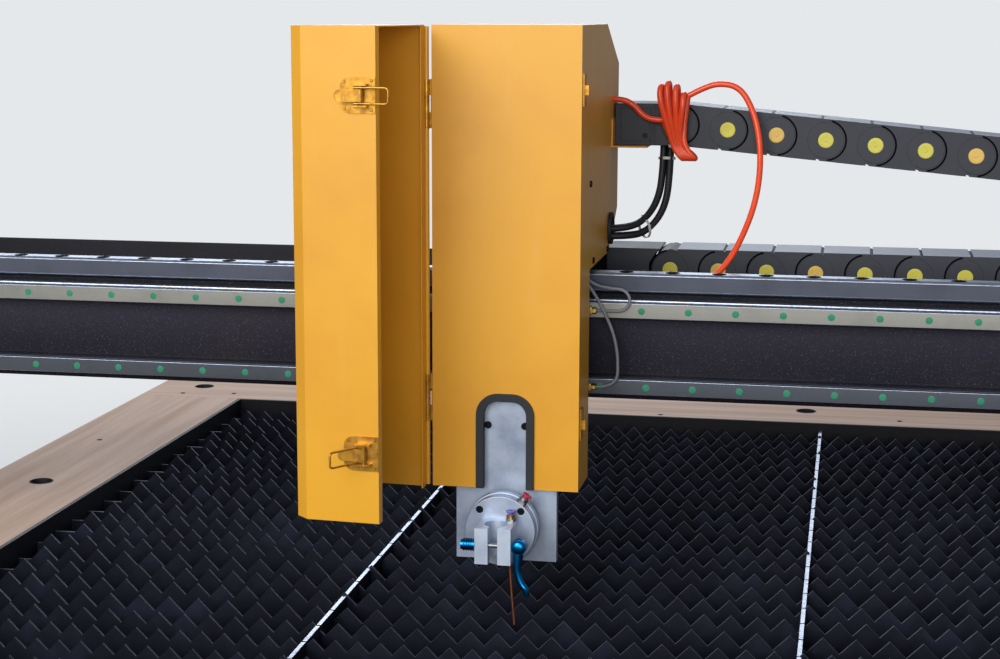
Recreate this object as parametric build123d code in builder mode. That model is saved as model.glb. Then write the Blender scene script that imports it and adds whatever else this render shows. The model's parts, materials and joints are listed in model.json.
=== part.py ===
# Gantry plasma cutting table with a hooded torch head, a drag chain and a serrated slat bed.
# Millimetres, +Z up, X along the gantry beam, Y along the bed, origin on the floor under the middle.
import os
from math import acos, asin, cos, degrees, pi, radians, sin, tan

from build123d import *

os.makedirs("parts", exist_ok=True)

# Bed
bed_length = 3200        # between the inner edges of the front and back boards
bed_width = 1680         # between the inner edges of the side boards
bed_top = 800
board_width = 205
board_thickness = 18
board_seam = 0.4         # between the side boards and the end boards
board_hole_radius = 19.5
board_hole_side_y = 898
board_hole_end_x = (274, 948)
tub_wall = 6
tub_depth = 276
flange_reach = 190
gusset_count = 5
gusset_height = 90

# Slats
slat_count = 49
slat_pitch = 64
slat_thickness = 4
slat_height = 100
slat_drop = 10           # tooth tips below the boards
slat_end_gap = 1
tooth_count = 16
tooth_height = 17
ledge_width = 8
ledge_height = 40
divider_x = 304
divider_thickness = 6
divider_drop = 14
lap_depth = 50
lap_clearance = 0.3

# Side beams, legs and feet
side_beam_length = 3900
side_beam_width = 120
side_beam_height = 200
side_beam_wall = 8
side_beam_cap = 6
side_beam_x = 1140
side_beam_top = 630
cross_member_size = 80
cross_member_wall = 5
cross_member_count = 5
cross_member_pitch = 760
leg_size = 100
leg_wall = 6
leg_plate = 12
leg_inset = 250          # from the ends of the side beams
foot_radius = 45
foot_height = 12
foot_stem_radius = 10
foot_gap = 33            # between the foot pad and the leg plate
foot_nut_radius = 19
foot_nut_height = 12
foot_hole_fit = 0.5

# Linear rails and bearing blocks
rail_width = 20
rail_height = 17.5
rail_waist = 14
rail_waist_low = 6
rail_waist_high = 11
block_width = 44
block_height = 30        # from the rail's base to the block's top
block_length = 74
block_lift = 4.6         # between the rail's base plane and the block
rail_gap = 0.3
y_block_spread = 300
x_rail_inset = 50        # from the ends of the beam
x_rail_z = (1182, 1082)
x_block_spread = 92
pad_width = 24
pad_height = 5

# Racks and pinions
gear_module = 2
root_depth = 1.25        # in modules
tooth_profile = ((0, -0.32), (1, -0.13), (1, 0.13), (0, 0.32))  # root or tip, share of a pitch
pinion_teeth = 18
root_clearance = 0.5
rack_height = 26
x_rack_depth = 24
y_rack_depth = 22
y_rack_inset = 10        # from the ends of the side beams
y_rack_drop = 6
shaft_radius = 8
shaft_fit = 0.05
shaft_reach = 22
shaft_end_gap = 1
pinion_height = 24
pinion_lift = 1          # above the rack's lower face
plate_hole_clearance = 5

# Gantry
gantry_y = 570.5         # middle of the beam and of its uprights
beam_length = 2400
beam_depth = 160
beam_height = 140
beam_bottom = 1062
beam_wall = 8
beam_cap = 6
upright_width = 100
upright_wall = 10
upright_foot_length = 340
upright_head_length = 210
upright_base_length = 400
upright_base_plate = 16
upright_base_margin = 4.5  # outside the motor
upright_base_inset = 55  # from the middle of the rail inwards
upright_window_radius = 55
stop_size = 40
stop_height = 35
stop_depth = 20
x_stop_setback = 5       # behind the front of the carriage plate
tray_sheet = 3
tray_depth = 140
tray_floor_z = 1182
tray_gap = 0.3           # under the lower run of the chain
tray_lip = 33
tray_skirt = 60
tray_inset = 10          # from the ends of the beam

# Motors
motor_size = 86
motor_body = 95
motor_flange = 12
motor_neck = 6
z_motor_size = 57
z_motor_body = 78

# Carriage and head housing
head_x = -69             # middle of the head in its place along the beam
housing_width = 186
housing_sheet = 2
housing_front = 358
housing_rear = 715
housing_bottom = 968
housing_top = 1545
housing_step_z = 1238
skirt_rear = 442
rear_chamfer_depth = 125
top_chamfer_height = 54
bottom_chamfer_depth = 90
bottom_chamfer_height = 53
carriage_plate_thickness = 15
carriage_plate_bottom = 1015
carriage_plate_top = 1244
motor_plate_thickness = 12
motor_plate_rear = 606
slot_half_width = 31
slot_top = 1084
slot_corner = 22
trim_lip = 6             # seal outside the cut edge
trim_bead = 4            # seal inside the cut edge
trim_proud = 4
grommet_y = 630
grommet_z = 1270
grommet_radius = 22
grommet_bore = 17
grommet_neck_radius = 19
grommet_proud = 5
grommet_lip = 3

# Lifter
lifter_front = 368
lifter_thickness = 12
lifter_width = 129
lifter_bottom = 873
lifter_top = 1180
lifter_hole_spacing = 50
lifter_hole_radius = 4.3
lifter_hole_z = 1047
z_plate_thickness = 12
z_plate_width = 130
z_plate_bottom = 990
z_plate_top = 1335
z_rail_spacing = 80
z_rail_width = 15
z_rail_height = 15
z_rail_bottom = 1008
z_rail_top = 1330
z_block_width = 34
z_block_height = 28
z_block_length = 56
z_block_heights = (1073, 1147)
nut_width = 36
nut_depth = 40           # from the lifter plate
nut_height = 60
carrier_bottom = 1036
screw_radius = 6
screw_fit = 0.05
screw_y = 408
bearing_height = 15
bearing_reach = 14       # in front of the screw's axis
z_bracket_thickness = 10

# Breakaway mount and torch clamp
mount_z = 922
neck_radius = 20
ring_radius = 46
ring_thickness = 10
ring_front = 340
disc_radius = 44
disc_thickness = 15
disc_screw_circle = 37
disc_screw_radius = 4.5
disc_screw_depth = 6
clamp_width = 45
clamp_height = 45
clamp_bottom = 893
clamp_front = 275
clamp_slit = 12
torch_bore_radius = 15
torch_bore_y = 301
clamp_screw_radius = 3
clamp_screw_y = 280.5
clamp_screw_z = 916
screw_hole_fit = 0.05
cap_nut_radius = 6.5
cap_nut_length = 15
cap_nut_bore = 10
washer_radius = 7.5
washer_thickness = 2.5
cam_radius = 9.5
cam_length = 12
cam_pin_radius = 2
cam_eye_radius = 3.4
cam_eye_width = 5.8
cam_gap = 0.3
lever_end = (-27, 276, 858)
lever_root = 0.75        # below the cam's axis, share of its radius
lever_radius = 4
fitting_radius = 6
fitting_height = 9
fitting_ring_radius = 4.5
fitting_ring_height = 5
disc_fitting_angle = 54
clamp_fitting_place = (-53.5, 316)
wire_radius = 1.6
wire_start = (-50, 290, 897)
wire_end = (-44, 290, 814)

# Door
door_open_angle = 94
hinge_x = -168
hinge_y = 357
door_outer_near = 4      # outer face beside the hinge, from the pin
door_outer_far = 193     # outer face of the latch side, from the pin
door_depth = 107
door_sheet = 2
door_gap = 1
door_lip_near = 15
door_lip_far = 13
door_chamfer_front = 13
door_chamfer_side = 16
hinge_inset_low = 114    # from the housing's lower edge to a hinge's middle
hinge_inset_high = 96    # from the housing's top
hinge_length = 60
hinge_knuckle_radius = 3.6
hinge_pin_radius = 2
hinge_fit = 0.05
hinge_knuckle_gap = 0.3
hinge_leaf_width = 24
hinge_leaf_thickness = 1.6
hinge_leaf_gap = 0.6     # between the barrels and the full height of a leaf

# Draw latches, from the rear edge of the cover's latch side
latch_inset_low = 84     # from the housing's lower edge to a latch's middle
latch_inset_high = 78    # from the housing's top
latch_plate_length = 42
latch_plate_height = 41
latch_plate_thickness = 1.5
latch_edge = 1.5         # from the hinge pin's plane to the plate
latch_pivot_back = 16
latch_pivot_out = 5
latch_pin_radius = 1.5
latch_pin_fit = 0.05
cheek_start = 8
cheek_length = 18
cheek_height = 9
cheek_thickness = 2
cheek_span = 26
lever_length = 28
lever_width = 14
lever_sheet = 1.6
lever_hub_radius = 3
lever_flick = 3.5
bail_pivot_back = 23
bail_pivot_out = 8
bail_wire_radius = 1.3
bail_leg_radius = 1.25
bail_reach = 41
bail_width = 18
bail_folded_angle = 120  # the lower bail is swung back
catch_length = 20
catch_height = 40
catch_thickness = 2
catch_hook_height = 5
catch_hook_width = 12
catch_start = 8

# Drag chain
chain_pitch = 66
chain_height = 57
chain_width = 80
chain_wall = 6
chain_front = 663
chain_gap = 0.5
link_facet = 30          # degrees between the corners of a link's round end
chain_start_x = 114      # first joint, beside the head
chain_slope = 5.2
upper_links = 8
lower_links = 8
link_relief = 27         # degrees cut from each inner corner so that links can fold
end_link_length = 88
cable_slot_start = 84
cable_slot_end = 108
cable_slot_front = 676
cable_slot_rear = 704
shelf_sheet = 2
shelf_reach = 49
shelf_leg = 37
shelf_front = 640
shelf_rear = 745
shelf_leg_rear = 713

# Cords
air_tube_radius = 4
cable_radius = 4.5
grease_line_radius = 2
cord_clearance = 0.3
bend_share_of_run = 0.45
grease_stub = 17
grease_stub_radius = 3
grease_inset = 8.5       # behind the face of the X blocks
hank_thickness = 20
hank_edge = 4
hank_outline = (
    (108, 1366),
    (118, 1366),
    (130, 1405),
    (131, 1440),
    (121, 1458),
    (110, 1469),
    (98, 1468),
    (93, 1455),
    (93, 1394),
)
air_lead_route = (
    (24, 652.7, 1444),
    (40, 652.7, 1444),
    (54, 652.7, 1435),
    (64, 652.7, 1423.7),
    (77, 652.7, 1416.2),
    (93, 652.7, 1416.2),
)
air_tail_route = (
    (126, 652.7, 1449),
    (143.5, 652.7, 1458.7),
    (167, 651.5, 1467),
    (196, 650, 1462),
    (215, 647, 1430),
    (225, 638, 1390),
    (227, 620, 1347),
    (221, 600, 1305),
    (206, 577, 1264),
    (189, 557, 1233),
    (166, 545, 1212),
    (142, 540, 1206.3),
)
# X, Y and Z of the middle of a pair, and half the distance between its two cables
inner_cable_route = (
    (91, 690, 1390, 4.8),
    (90.7, 688, 1346, 5.2),
    (86, 675, 1305, 6.3),
    (68, 653, 1277, 6.9),
    (43, 632, 1269.5, 6),
    (17, 630, 1269.2, 5),
)
outer_cable_route = (
    (100.6, 690, 1390, 4.8),
    (100.3, 688, 1340, 5.2),
    (95, 675, 1292, 6.3),
    (72, 654, 1262, 6.9),
    (43, 632, 1259.2, 6),
    (17, 630, 1259.4, 5),
)
grease_upper_route = (
    (12, 464, 1244),
    (12, 464.1, 1230),
    (25, 464, 1216),
    (46, 464, 1211.3),
    (67.1, 464, 1210.3),
    (75.2, 464, 1196.3),
    (67.1, 464, 1182.3),
    (49, 464.1, 1181.8),
    (31, 464, 1182),
)
grease_lower_route = (
    (12, 458, 1244),
    (12, 458.1, 1226),
    (28, 458, 1206),
    (40, 458, 1184),
    (54, 458, 1154),
    (60, 460, 1120),
    (58, 463, 1083),
    (31, 464, 1082),
)

# Worked out from the above
tub_outer_x = bed_width / 2
tub_outer_y = bed_length / 2
tub_inner_x = tub_outer_x - tub_wall
tub_inner_y = tub_outer_y - tub_wall
tub_floor = bed_top - tub_depth
board_bottom = bed_top - board_thickness
slat_tip = bed_top - slat_drop
slat_bottom = slat_tip - slat_height
lap_z = slat_bottom + lap_depth
side_beam_bottom = side_beam_top - side_beam_height
leg_y = side_beam_length / 2 - leg_inset
y_rail_length = side_beam_length - 2 * stop_depth
y_rack_length = side_beam_length - 2 * y_rack_inset
x_rail_length = beam_length - 2 * x_rail_inset
tray_length = beam_length - 2 * tray_inset
upright_x = side_beam_x
beam_front = gantry_y - beam_depth / 2
beam_rear = gantry_y + beam_depth / 2
beam_top = beam_bottom + beam_height
rail_base_y = beam_front - pad_height
block_face_y = rail_base_y - block_height
pinion_pitch_radius = gear_module * pinion_teeth / 2
pinion_tip_radius = pinion_pitch_radius + gear_module
x_pinion_y = beam_front + x_rack_depth + root_clearance + pinion_tip_radius
y_rack_face = side_beam_x + side_beam_width / 2 + y_rack_depth
y_pinion_x = y_rack_face + root_clearance + pinion_tip_radius
y_block_top = side_beam_top + block_height
upright_base_top = y_block_top + upright_base_plate
upright_base_reach = y_pinion_x + motor_size / 2 + upright_base_margin
upright_base_inner = side_beam_x - upright_base_inset
y_rack_top = side_beam_top - y_rack_drop
head_left = head_x - housing_width / 2
head_right = head_x + housing_width / 2
carriage_front = block_face_y - carriage_plate_thickness
motor_plate_top = carriage_plate_top + motor_plate_thickness
z_plate_front = carriage_front - z_plate_thickness
hinge_heights = (housing_bottom + hinge_inset_low, housing_top - hinge_inset_high)
latch_heights = (housing_bottom + latch_inset_low, housing_top - latch_inset_high)
lifter_rear = lifter_front + lifter_thickness
z_block_face = z_plate_front - z_block_height
chain_rear = chain_front + chain_width
shelf_top = 1381
chain_start_z = shelf_top + chain_height / 2
lower_run_z = tray_floor_z + tray_gap + chain_height / 2


def write(piece, name):
    """Name a finished piece and write its STEP file."""
    piece.part.label = name
    export_step(piece.part, f"parts/{name}.step")


def slab(x_range, y_range, z_range, mode=Mode.ADD):
    """Straight-sided block between six faces."""
    middle = tuple(sum(ends) / 2 for ends in (x_range, y_range, z_range))
    with Locations(middle):
        Box(*(ends[1] - ends[0] for ends in (x_range, y_range, z_range)), mode=mode)


def both(half, middle=0):
    """The two ends of a stretch that is centred on a middle."""
    return (middle - half, middle + half)


def prism(plane, points, depth, mode=Mode.ADD):
    """Straight-edged outline drawn on a plane and pushed along the plane's normal."""
    with BuildSketch(plane) as outline:
        Polygon(*points, align=None)
    extrude(outline.sketch, amount=depth, mode=mode)


def rod(start, end, radius, mode=Mode.ADD):
    """Round bar between two points."""
    axis = Vector(*end) - Vector(*start)
    with BuildSketch(Plane(origin=start, z_dir=axis)) as section:
        Circle(radius)
    extrude(section.sketch, amount=axis.length, mode=mode)


def rail(plane, width, height, length):
    """Profiled rail; the plane holds its section, X across it and Y out from its base."""
    half = width / 2
    waist = half * rail_waist / rail_width
    low = height * rail_waist_low / rail_height
    high = height * rail_waist_high / rail_height
    right = [(half, 0), (half, low), (waist, (low + high) / 2), (half, high), (half, height)]
    left = [(-x, y) for x, y in reversed(right)]
    prism(plane, right + left, length)


def bearing_block(plane, width, height, rail_size, length):
    """Block that straddles a rail, drawn on the same kind of plane as the rail."""
    slot = rail_size[0] / 2 + rail_gap
    roof = rail_size[1] + rail_gap
    lift = height * block_lift / block_height
    half = width / 2
    right = [(half, lift), (half, height)]
    left = [(-half, height), (-half, lift), (-slot, lift), (-slot, roof), (slot, roof), (slot, lift)]
    prism(plane, right + left, length)


def write_both(piece, name):
    """Write a piece of the right side together with its mirror image on the left."""
    with BuildPart() as pair:
        add(piece.part)
        mirror(piece.part, about=Plane.YZ)
    write(pair, name)


# Bed tub: a welded sheet trough with a flange for the boards and ledges for the slats
with BuildPart() as bed_tub:
    slab(both(tub_outer_x), both(tub_outer_y), (tub_floor, bed_top))
    slab(both(tub_inner_x), both(tub_inner_y), (tub_floor + tub_wall, bed_top), Mode.SUBTRACT)
    with BuildSketch(Plane.XY.offset(board_bottom - tub_wall)):
        Rectangle(2 * (tub_outer_x + flange_reach), 2 * (tub_outer_y + flange_reach))
        Rectangle(2 * tub_outer_x, 2 * tub_outer_y, mode=Mode.SUBTRACT)
    extrude(amount=tub_wall)
    gusset_top = board_bottom - tub_wall
    gusset_outline = [(0, gusset_top), (flange_reach, gusset_top), (0, gusset_top - gusset_height)]
    for index in range(gusset_count):
        along_y = (index - (gusset_count - 1) / 2) * bed_length / gusset_count
        for side in (-1, 1):
            outline = [(side * (tub_outer_x + x), z) for x, z in gusset_outline]
            prism(Plane.XZ.offset(-along_y), outline, tub_wall)
    for index in range(gusset_count - 2):
        along_x = (index - (gusset_count - 3) / 2) * bed_width / (gusset_count - 2)
        for side in (-1, 1):
            outline = [(side * (tub_outer_y + y), z) for y, z in gusset_outline]
            prism(Plane.YZ.offset(along_x), outline, tub_wall)
    for side in (-1, 1):
        near = side * tub_inner_x
        far = side * (tub_inner_x - ledge_width)
        slab(sorted((near, far)), both(tub_inner_y), (slat_bottom - ledge_height, slat_bottom))
write(bed_tub, "bed_tub")

# Dividers along the bed, notched from above where the slats cross
slat_places = [(index - (slat_count - 1) / 2) * slat_pitch for index in range(slat_count)]
lap_width = slat_thickness + 2 * lap_clearance
divider_top = bed_top - divider_drop
with BuildPart() as slat_dividers:
    for x in (-divider_x, divider_x):
        with BuildSketch(Plane.YZ.offset(x - divider_thickness / 2)):
            with Locations((0, (tub_floor + tub_wall + divider_top) / 2)):
                Rectangle(2 * tub_inner_y, divider_top - tub_floor - tub_wall)
            with Locations(*[(y, (lap_z + divider_top) / 2) for y in slat_places]):
                Rectangle(lap_width, divider_top - lap_z, mode=Mode.SUBTRACT)
        extrude(amount=divider_thickness)
write(slat_dividers, "slat_dividers")

# Serrated slats across the bed, half lapped over the dividers
slat_half = tub_inner_x - slat_end_gap
tooth_pitch = 2 * slat_half / tooth_count
tooth_points = [(-slat_half, slat_tip - tooth_height)]
for index in range(tooth_count):
    tooth_points.append((-slat_half + (index + 0.5) * tooth_pitch, slat_tip))
    tooth_points.append((-slat_half + (index + 1) * tooth_pitch, slat_tip - tooth_height))
slat_notch = (divider_thickness / 2 + lap_clearance, lap_z - slat_bottom)
slat_planes = [Plane.XZ.offset(-(y + slat_thickness / 2)) for y in slat_places]
with BuildPart() as slats:
    with BuildSketch(*slat_planes):
        Polygon((slat_half, slat_bottom), (-slat_half, slat_bottom), *tooth_points, align=None)
        with Locations(*[(x, slat_bottom + slat_notch[1] / 2) for x in (-divider_x, divider_x)]):
            Rectangle(2 * slat_notch[0], slat_notch[1], mode=Mode.SUBTRACT)
    extrude(amount=slat_thickness)
write(slats, "slats")

# Timber boards round the bed, the side ones between the end ones
board_outer_x = tub_outer_x + board_width
board_outer_y = tub_outer_y + board_width
with BuildPart() as boards:
    for side in (-1, 1):
        slab(sorted((side * tub_outer_x, side * board_outer_x)), both(tub_outer_y - board_seam),
             (board_bottom, bed_top))
        slab(both(board_outer_x), sorted((side * tub_outer_y, side * board_outer_y)), (board_bottom, bed_top))
    hole_x = tub_outer_x + board_width / 2
    hole_y = tub_outer_y + board_width / 2
    hole_places = [(x, y) for x in both(hole_x) for y in both(board_hole_side_y)]
    hole_places += [(side * x, y) for x in board_hole_end_x for side in (-1, 1) for y in both(hole_y)]
    with BuildSketch(Plane.XY.offset(board_bottom)):
        with Locations(*hole_places):
            Circle(board_hole_radius)
    extrude(amount=board_thickness, mode=Mode.SUBTRACT)
write(boards, "boards")

# Bed frame: side beams for the gantry, cross members under the tub and legs, welded together
leg_bottom = foot_height + foot_gap
leg_places = [(x, y) for x in both(side_beam_x) for y in (-leg_y, 0, leg_y)]
cross_half = side_beam_x - side_beam_width / 2
with BuildPart() as bed_frame:
    for x in both(side_beam_x):
        slab(both(side_beam_width / 2, x), both(side_beam_length / 2), (side_beam_bottom, side_beam_top))
        slab(both(side_beam_width / 2 - side_beam_wall, x), both(side_beam_length / 2 - side_beam_cap),
             (side_beam_bottom + side_beam_wall, side_beam_top - side_beam_wall), Mode.SUBTRACT)
    for index in range(cross_member_count):
        y = (index - (cross_member_count - 1) / 2) * cross_member_pitch
        core = cross_member_size / 2 - cross_member_wall
        cross_middle = tub_floor - cross_member_size / 2
        slab(both(cross_half), both(cross_member_size / 2, y), both(cross_member_size / 2, cross_middle))
        slab(both(cross_half), both(core, y), both(core, cross_middle), Mode.SUBTRACT)
    for x, y in leg_places:
        slab(both(leg_size / 2, x), both(leg_size / 2, y), (leg_bottom, side_beam_bottom))
        slab(both(leg_size / 2 - leg_wall, x), both(leg_size / 2 - leg_wall, y),
             (leg_bottom + leg_plate, side_beam_bottom), Mode.SUBTRACT)
        rod((x, y, leg_bottom), (x, y, leg_bottom + leg_plate), foot_stem_radius + foot_hole_fit,
            Mode.SUBTRACT)
write(bed_frame, "bed_frame")

# Levelling feet: round pad, stem and lock nut turned as one outline
with BuildPart() as leveling_feet:
    nut_bottom = leg_bottom - foot_nut_height
    for x, y in leg_places:
        rod((x, y, 0), (x, y, foot_height), foot_radius)
        rod((x, y, foot_height), (x, y, leg_bottom + 2 * leg_plate), foot_stem_radius)
        with BuildSketch(Plane.XY.offset(nut_bottom)):
            with Locations((x, y)):
                RegularPolygon(foot_nut_radius, 6)
        extrude(amount=foot_nut_height)
write(leveling_feet, "leveling_feet")

# Rails, racks and end stops along the bed
with BuildPart() as y_rail:
    y_rail_plane = Plane(origin=(side_beam_x, y_rail_length / 2, side_beam_top), x_dir=(1, 0, 0),
                         z_dir=(0, -1, 0))
    rail(y_rail_plane, rail_width, rail_height, y_rail_length)
write_both(y_rail, "y_rails")

with BuildPart() as y_rack:
    slab((side_beam_x + side_beam_width / 2, y_rack_face), both(y_rack_length / 2),
         (y_rack_top - rack_height, y_rack_top))
write_both(y_rack, "y_racks")

with BuildPart() as y_end_stops:
    for x in both(side_beam_x):
        for side in (-1, 1):
            near = side * y_rail_length / 2
            far = side * (y_rail_length / 2 + stop_depth)
            slab(both(stop_size / 2, x), sorted((near, far)), (side_beam_top, side_beam_top + stop_height))
write(y_end_stops, "y_end_stops")


# Gantry
with BuildPart() as gantry_beam:
    beam_middle = beam_bottom + beam_height / 2
    with BuildSketch(Plane.YZ.offset(-beam_length / 2)):
        with Locations((gantry_y, beam_middle)):
            Rectangle(beam_depth, beam_height)
            Rectangle(beam_depth - 2 * beam_wall, beam_height - 2 * beam_wall, mode=Mode.SUBTRACT)
    extrude(amount=beam_length)
    for z in x_rail_z:
        slab(both(beam_length / 2), (rail_base_y, beam_front), both(pad_width / 2, z))
    for side in (-1, 1):
        near = side * beam_length / 2
        far = side * (beam_length / 2 + beam_cap)
        slab(sorted((near, far)), (beam_front, beam_rear), (beam_bottom, beam_top))
write(gantry_beam, "gantry_beam")

with BuildPart() as x_rails:
    for z in x_rail_z:
        x_rail_plane = Plane(origin=(-x_rail_length / 2, rail_base_y, z), x_dir=(0, 0, 1),
                             z_dir=(1, 0, 0))
        rail(x_rail_plane, rail_width, rail_height, x_rail_length)
write(x_rails, "x_rails")

with BuildPart() as x_rack:
    slab(both(x_rail_length / 2), (beam_front, beam_front + x_rack_depth),
         (beam_top, beam_top + rack_height))
write(x_rack, "x_rack")

with BuildPart() as x_end_stops:
    stop_front = carriage_front + x_stop_setback
    for side in (-1, 1):
        near = side * x_rail_length / 2
        far = side * (x_rail_length / 2 - stop_depth)
        slab(sorted((near, far)), (stop_front, beam_front), both(stop_size / 2, sum(x_rail_z) / 2))
write(x_end_stops, "x_end_stops")

# Upright: a channel with a drilled web, welded to the base plate that rides on the blocks
with BuildPart() as upright:
    inner_x = upright_x - upright_width / 2
    foot_half = upright_foot_length / 2
    head_half = upright_head_length / 2
    side_view = [(gantry_y - foot_half, upright_base_top), (gantry_y + foot_half, upright_base_top),
                 (gantry_y + head_half, beam_bottom), (gantry_y - head_half, beam_bottom)]
    prism(Plane.YZ.offset(inner_x), side_view, upright_width)
    with BuildSketch(Plane.YZ.offset(inner_x + upright_wall)):
        Polygon(*side_view, align=None)
        offset(amount=-upright_wall, kind=Kind.INTERSECTION, mode=Mode.REPLACE)
    extrude(amount=upright_width - upright_wall, mode=Mode.SUBTRACT)
    window_z = (upright_base_top + beam_bottom) / 2
    rod((inner_x, gantry_y, window_z), (inner_x + upright_wall, gantry_y, window_z),
        upright_window_radius, Mode.SUBTRACT)
    slab((upright_base_inner, upright_base_reach), both(upright_base_length / 2, gantry_y),
         (y_block_top, upright_base_top))
    rod((y_pinion_x, gantry_y, y_block_top), (y_pinion_x, gantry_y, upright_base_top),
        shaft_radius + plate_hole_clearance, Mode.SUBTRACT)
write_both(upright, "uprights")

with BuildPart() as y_bearing_blocks:
    for x in both(side_beam_x):
        for y in both(y_block_spread / 2, gantry_y):
            plane = Plane(origin=(x, y + block_length / 2, side_beam_top), x_dir=(1, 0, 0),
                          z_dir=(0, -1, 0))
            bearing_block(plane, block_width, block_height, (rail_width, rail_height), block_length)
write(y_bearing_blocks, "y_bearing_blocks")


def motor(middle, seat_z, size, body, bore):
    """Upright motor with an end flange at each end, bored from below for its shaft."""
    across = (both(size / 2, middle[0]), both(size / 2, middle[1]))
    body_top = seat_z + motor_flange + body
    slab(*across, (seat_z, seat_z + motor_flange))
    slab(*across, (body_top - motor_flange, body_top))
    with BuildSketch(Plane.XY.offset(seat_z)) as section:
        with Locations(middle):
            Rectangle(size - motor_neck, size - motor_neck)
        chamfer(section.vertices(), motor_neck)
    extrude(section.sketch, amount=motor_flange + body)
    rod((*middle, seat_z), (*middle, seat_z + shaft_reach), bore + shaft_fit, Mode.SUBTRACT)


def pinion(middle, bottom, seat_z):
    """Spur pinion on its shaft, which reaches up into the motor."""
    tooth_angle = 2 * pi / pinion_teeth
    root_radius = pinion_pitch_radius - root_depth * gear_module
    outline = []
    for tooth in range(pinion_teeth):
        for at_tip, share in tooth_profile:
            radius = pinion_tip_radius if at_tip else root_radius
            angle = (tooth + share) * tooth_angle
            outline.append((middle[0] + radius * cos(angle), middle[1] + radius * sin(angle)))
    prism(Plane.XY.offset(bottom), outline, pinion_height)
    rod((*middle, bottom), (*middle, seat_z + shaft_reach - shaft_end_gap), shaft_radius)


with BuildPart() as y_motor:
    motor((y_pinion_x, gantry_y), upright_base_top, motor_size, motor_body, shaft_radius)
write_both(y_motor, "y_motors")

for name, side in (("y_pinion_right", 1), ("y_pinion_left", -1)):
    with BuildPart() as y_pinion:
        pinion((side * y_pinion_x, gantry_y), y_rack_top - rack_height + pinion_lift, upright_base_top)
    write(y_pinion, name)

# Tray behind the beam for the lower run of the drag chain
tray_rear = beam_rear + tray_depth
tray_span = both(tray_length / 2)
with BuildPart() as chain_tray:
    slab(tray_span, (beam_rear, tray_rear), (tray_floor_z - tray_sheet, tray_floor_z))
    slab(tray_span, (tray_rear - tray_sheet, tray_rear), (tray_floor_z, tray_floor_z + tray_lip))
    slab(tray_span, (beam_rear, beam_rear + tray_sheet), (tray_floor_z - tray_skirt, tray_floor_z))
write(chain_tray, "chain_tray")


# Carriage: a plate on the X blocks with a shelf plate for the X motor
inner_left = head_left + housing_sheet
inner_right = head_right - housing_sheet
inside = (inner_left, inner_right)
with BuildPart() as carriage_plates:
    slab(inside, (carriage_front, block_face_y), (carriage_plate_bottom, carriage_plate_top))
    slab(inside, (carriage_front, motor_plate_rear), (carriage_plate_top, motor_plate_top))
    rod((head_x, x_pinion_y, carriage_plate_top), (head_x, x_pinion_y, motor_plate_top),
        shaft_radius + plate_hole_clearance, Mode.SUBTRACT)
write(carriage_plates, "carriage_plates")

with BuildPart() as x_bearing_blocks:
    for x in both(x_block_spread / 2, head_x):
        for z in x_rail_z:
            plane = Plane(origin=(x - block_length / 2, rail_base_y, z), x_dir=(0, 0, 1), z_dir=(1, 0, 0))
            bearing_block(plane, block_width, block_height, (rail_width, rail_height), block_length)
write(x_bearing_blocks, "x_bearing_blocks")

with BuildPart() as x_motor:
    motor((head_x, x_pinion_y), motor_plate_top, motor_size, motor_body, shaft_radius)
write(x_motor, "x_motor")

with BuildPart() as x_pinion:
    pinion((head_x, x_pinion_y), beam_top + pinion_lift, motor_plate_top)
write(x_pinion, "x_pinion")

# Z axis: back plate with a bearing lug below and a motor shelf above
z_plate_span = both(z_plate_width / 2, head_x)
z_shelf_top = z_plate_top + z_bracket_thickness
with BuildPart() as z_back_plate:
    slab(z_plate_span, (z_plate_front, carriage_front), (z_plate_bottom, z_plate_top))
    slab(both(nut_width / 2, head_x), (screw_y - bearing_reach, z_plate_front),
         (z_plate_bottom, z_plate_bottom + bearing_height))
    slab(both(z_motor_size / 2, head_x), (screw_y - z_motor_size / 2, carriage_front),
         (z_plate_top, z_shelf_top))
    rod((head_x, screw_y, z_plate_bottom), (head_x, screw_y, z_shelf_top), screw_radius + screw_fit,
        Mode.SUBTRACT)
write(z_back_plate, "z_back_plate")

with BuildPart() as z_rails:
    for x in both(z_rail_spacing / 2, head_x):
        plane = Plane(origin=(x, z_plate_front, z_rail_bottom), x_dir=(-1, 0, 0), z_dir=(0, 0, 1))
        rail(plane, z_rail_width, z_rail_height, z_rail_top - z_rail_bottom)
write(z_rails, "z_rails")

with BuildPart() as z_screw:
    rod((head_x, screw_y, z_plate_bottom), (head_x, screw_y, z_shelf_top + shaft_reach - shaft_end_gap),
        screw_radius)
write(z_screw, "z_screw")

with BuildPart() as z_motor:
    motor((head_x, screw_y), z_shelf_top, z_motor_size, z_motor_body, screw_radius)
write(z_motor, "z_motor")

# Housing: folded sheet, open below and behind where the carriage reaches the beam
housing_profile = [
    (housing_front, housing_bottom),
    (skirt_rear, housing_bottom),
    (skirt_rear, housing_step_z),
    (housing_rear - bottom_chamfer_depth, housing_step_z),
    (housing_rear, housing_step_z + bottom_chamfer_height),
    (housing_rear, housing_top - top_chamfer_height),
    (housing_rear - rear_chamfer_depth, housing_top),
    (housing_front, housing_top),
]


def slot_outline(margin):
    """Inverted U round the breakaway neck, a margin away from the cut edge."""
    half = slot_half_width + margin
    top = slot_top + margin
    with BuildSketch(Plane.XZ) as outline:
        with Locations((head_x, (housing_bottom + top) / 2)):
            Rectangle(2 * half, top - housing_bottom)
        fillet(outline.vertices().group_by(Axis.Y)[-1], slot_corner + margin)
    return outline.sketch


def slot_prism(outline, front, rear, mode=Mode.ADD):
    """The inverted U, or a ring of it, as a solid between two depths."""
    extrude(outline.moved(Location((0, rear, 0))), amount=rear - front, dir=(0, -1, 0), mode=mode)


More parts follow.
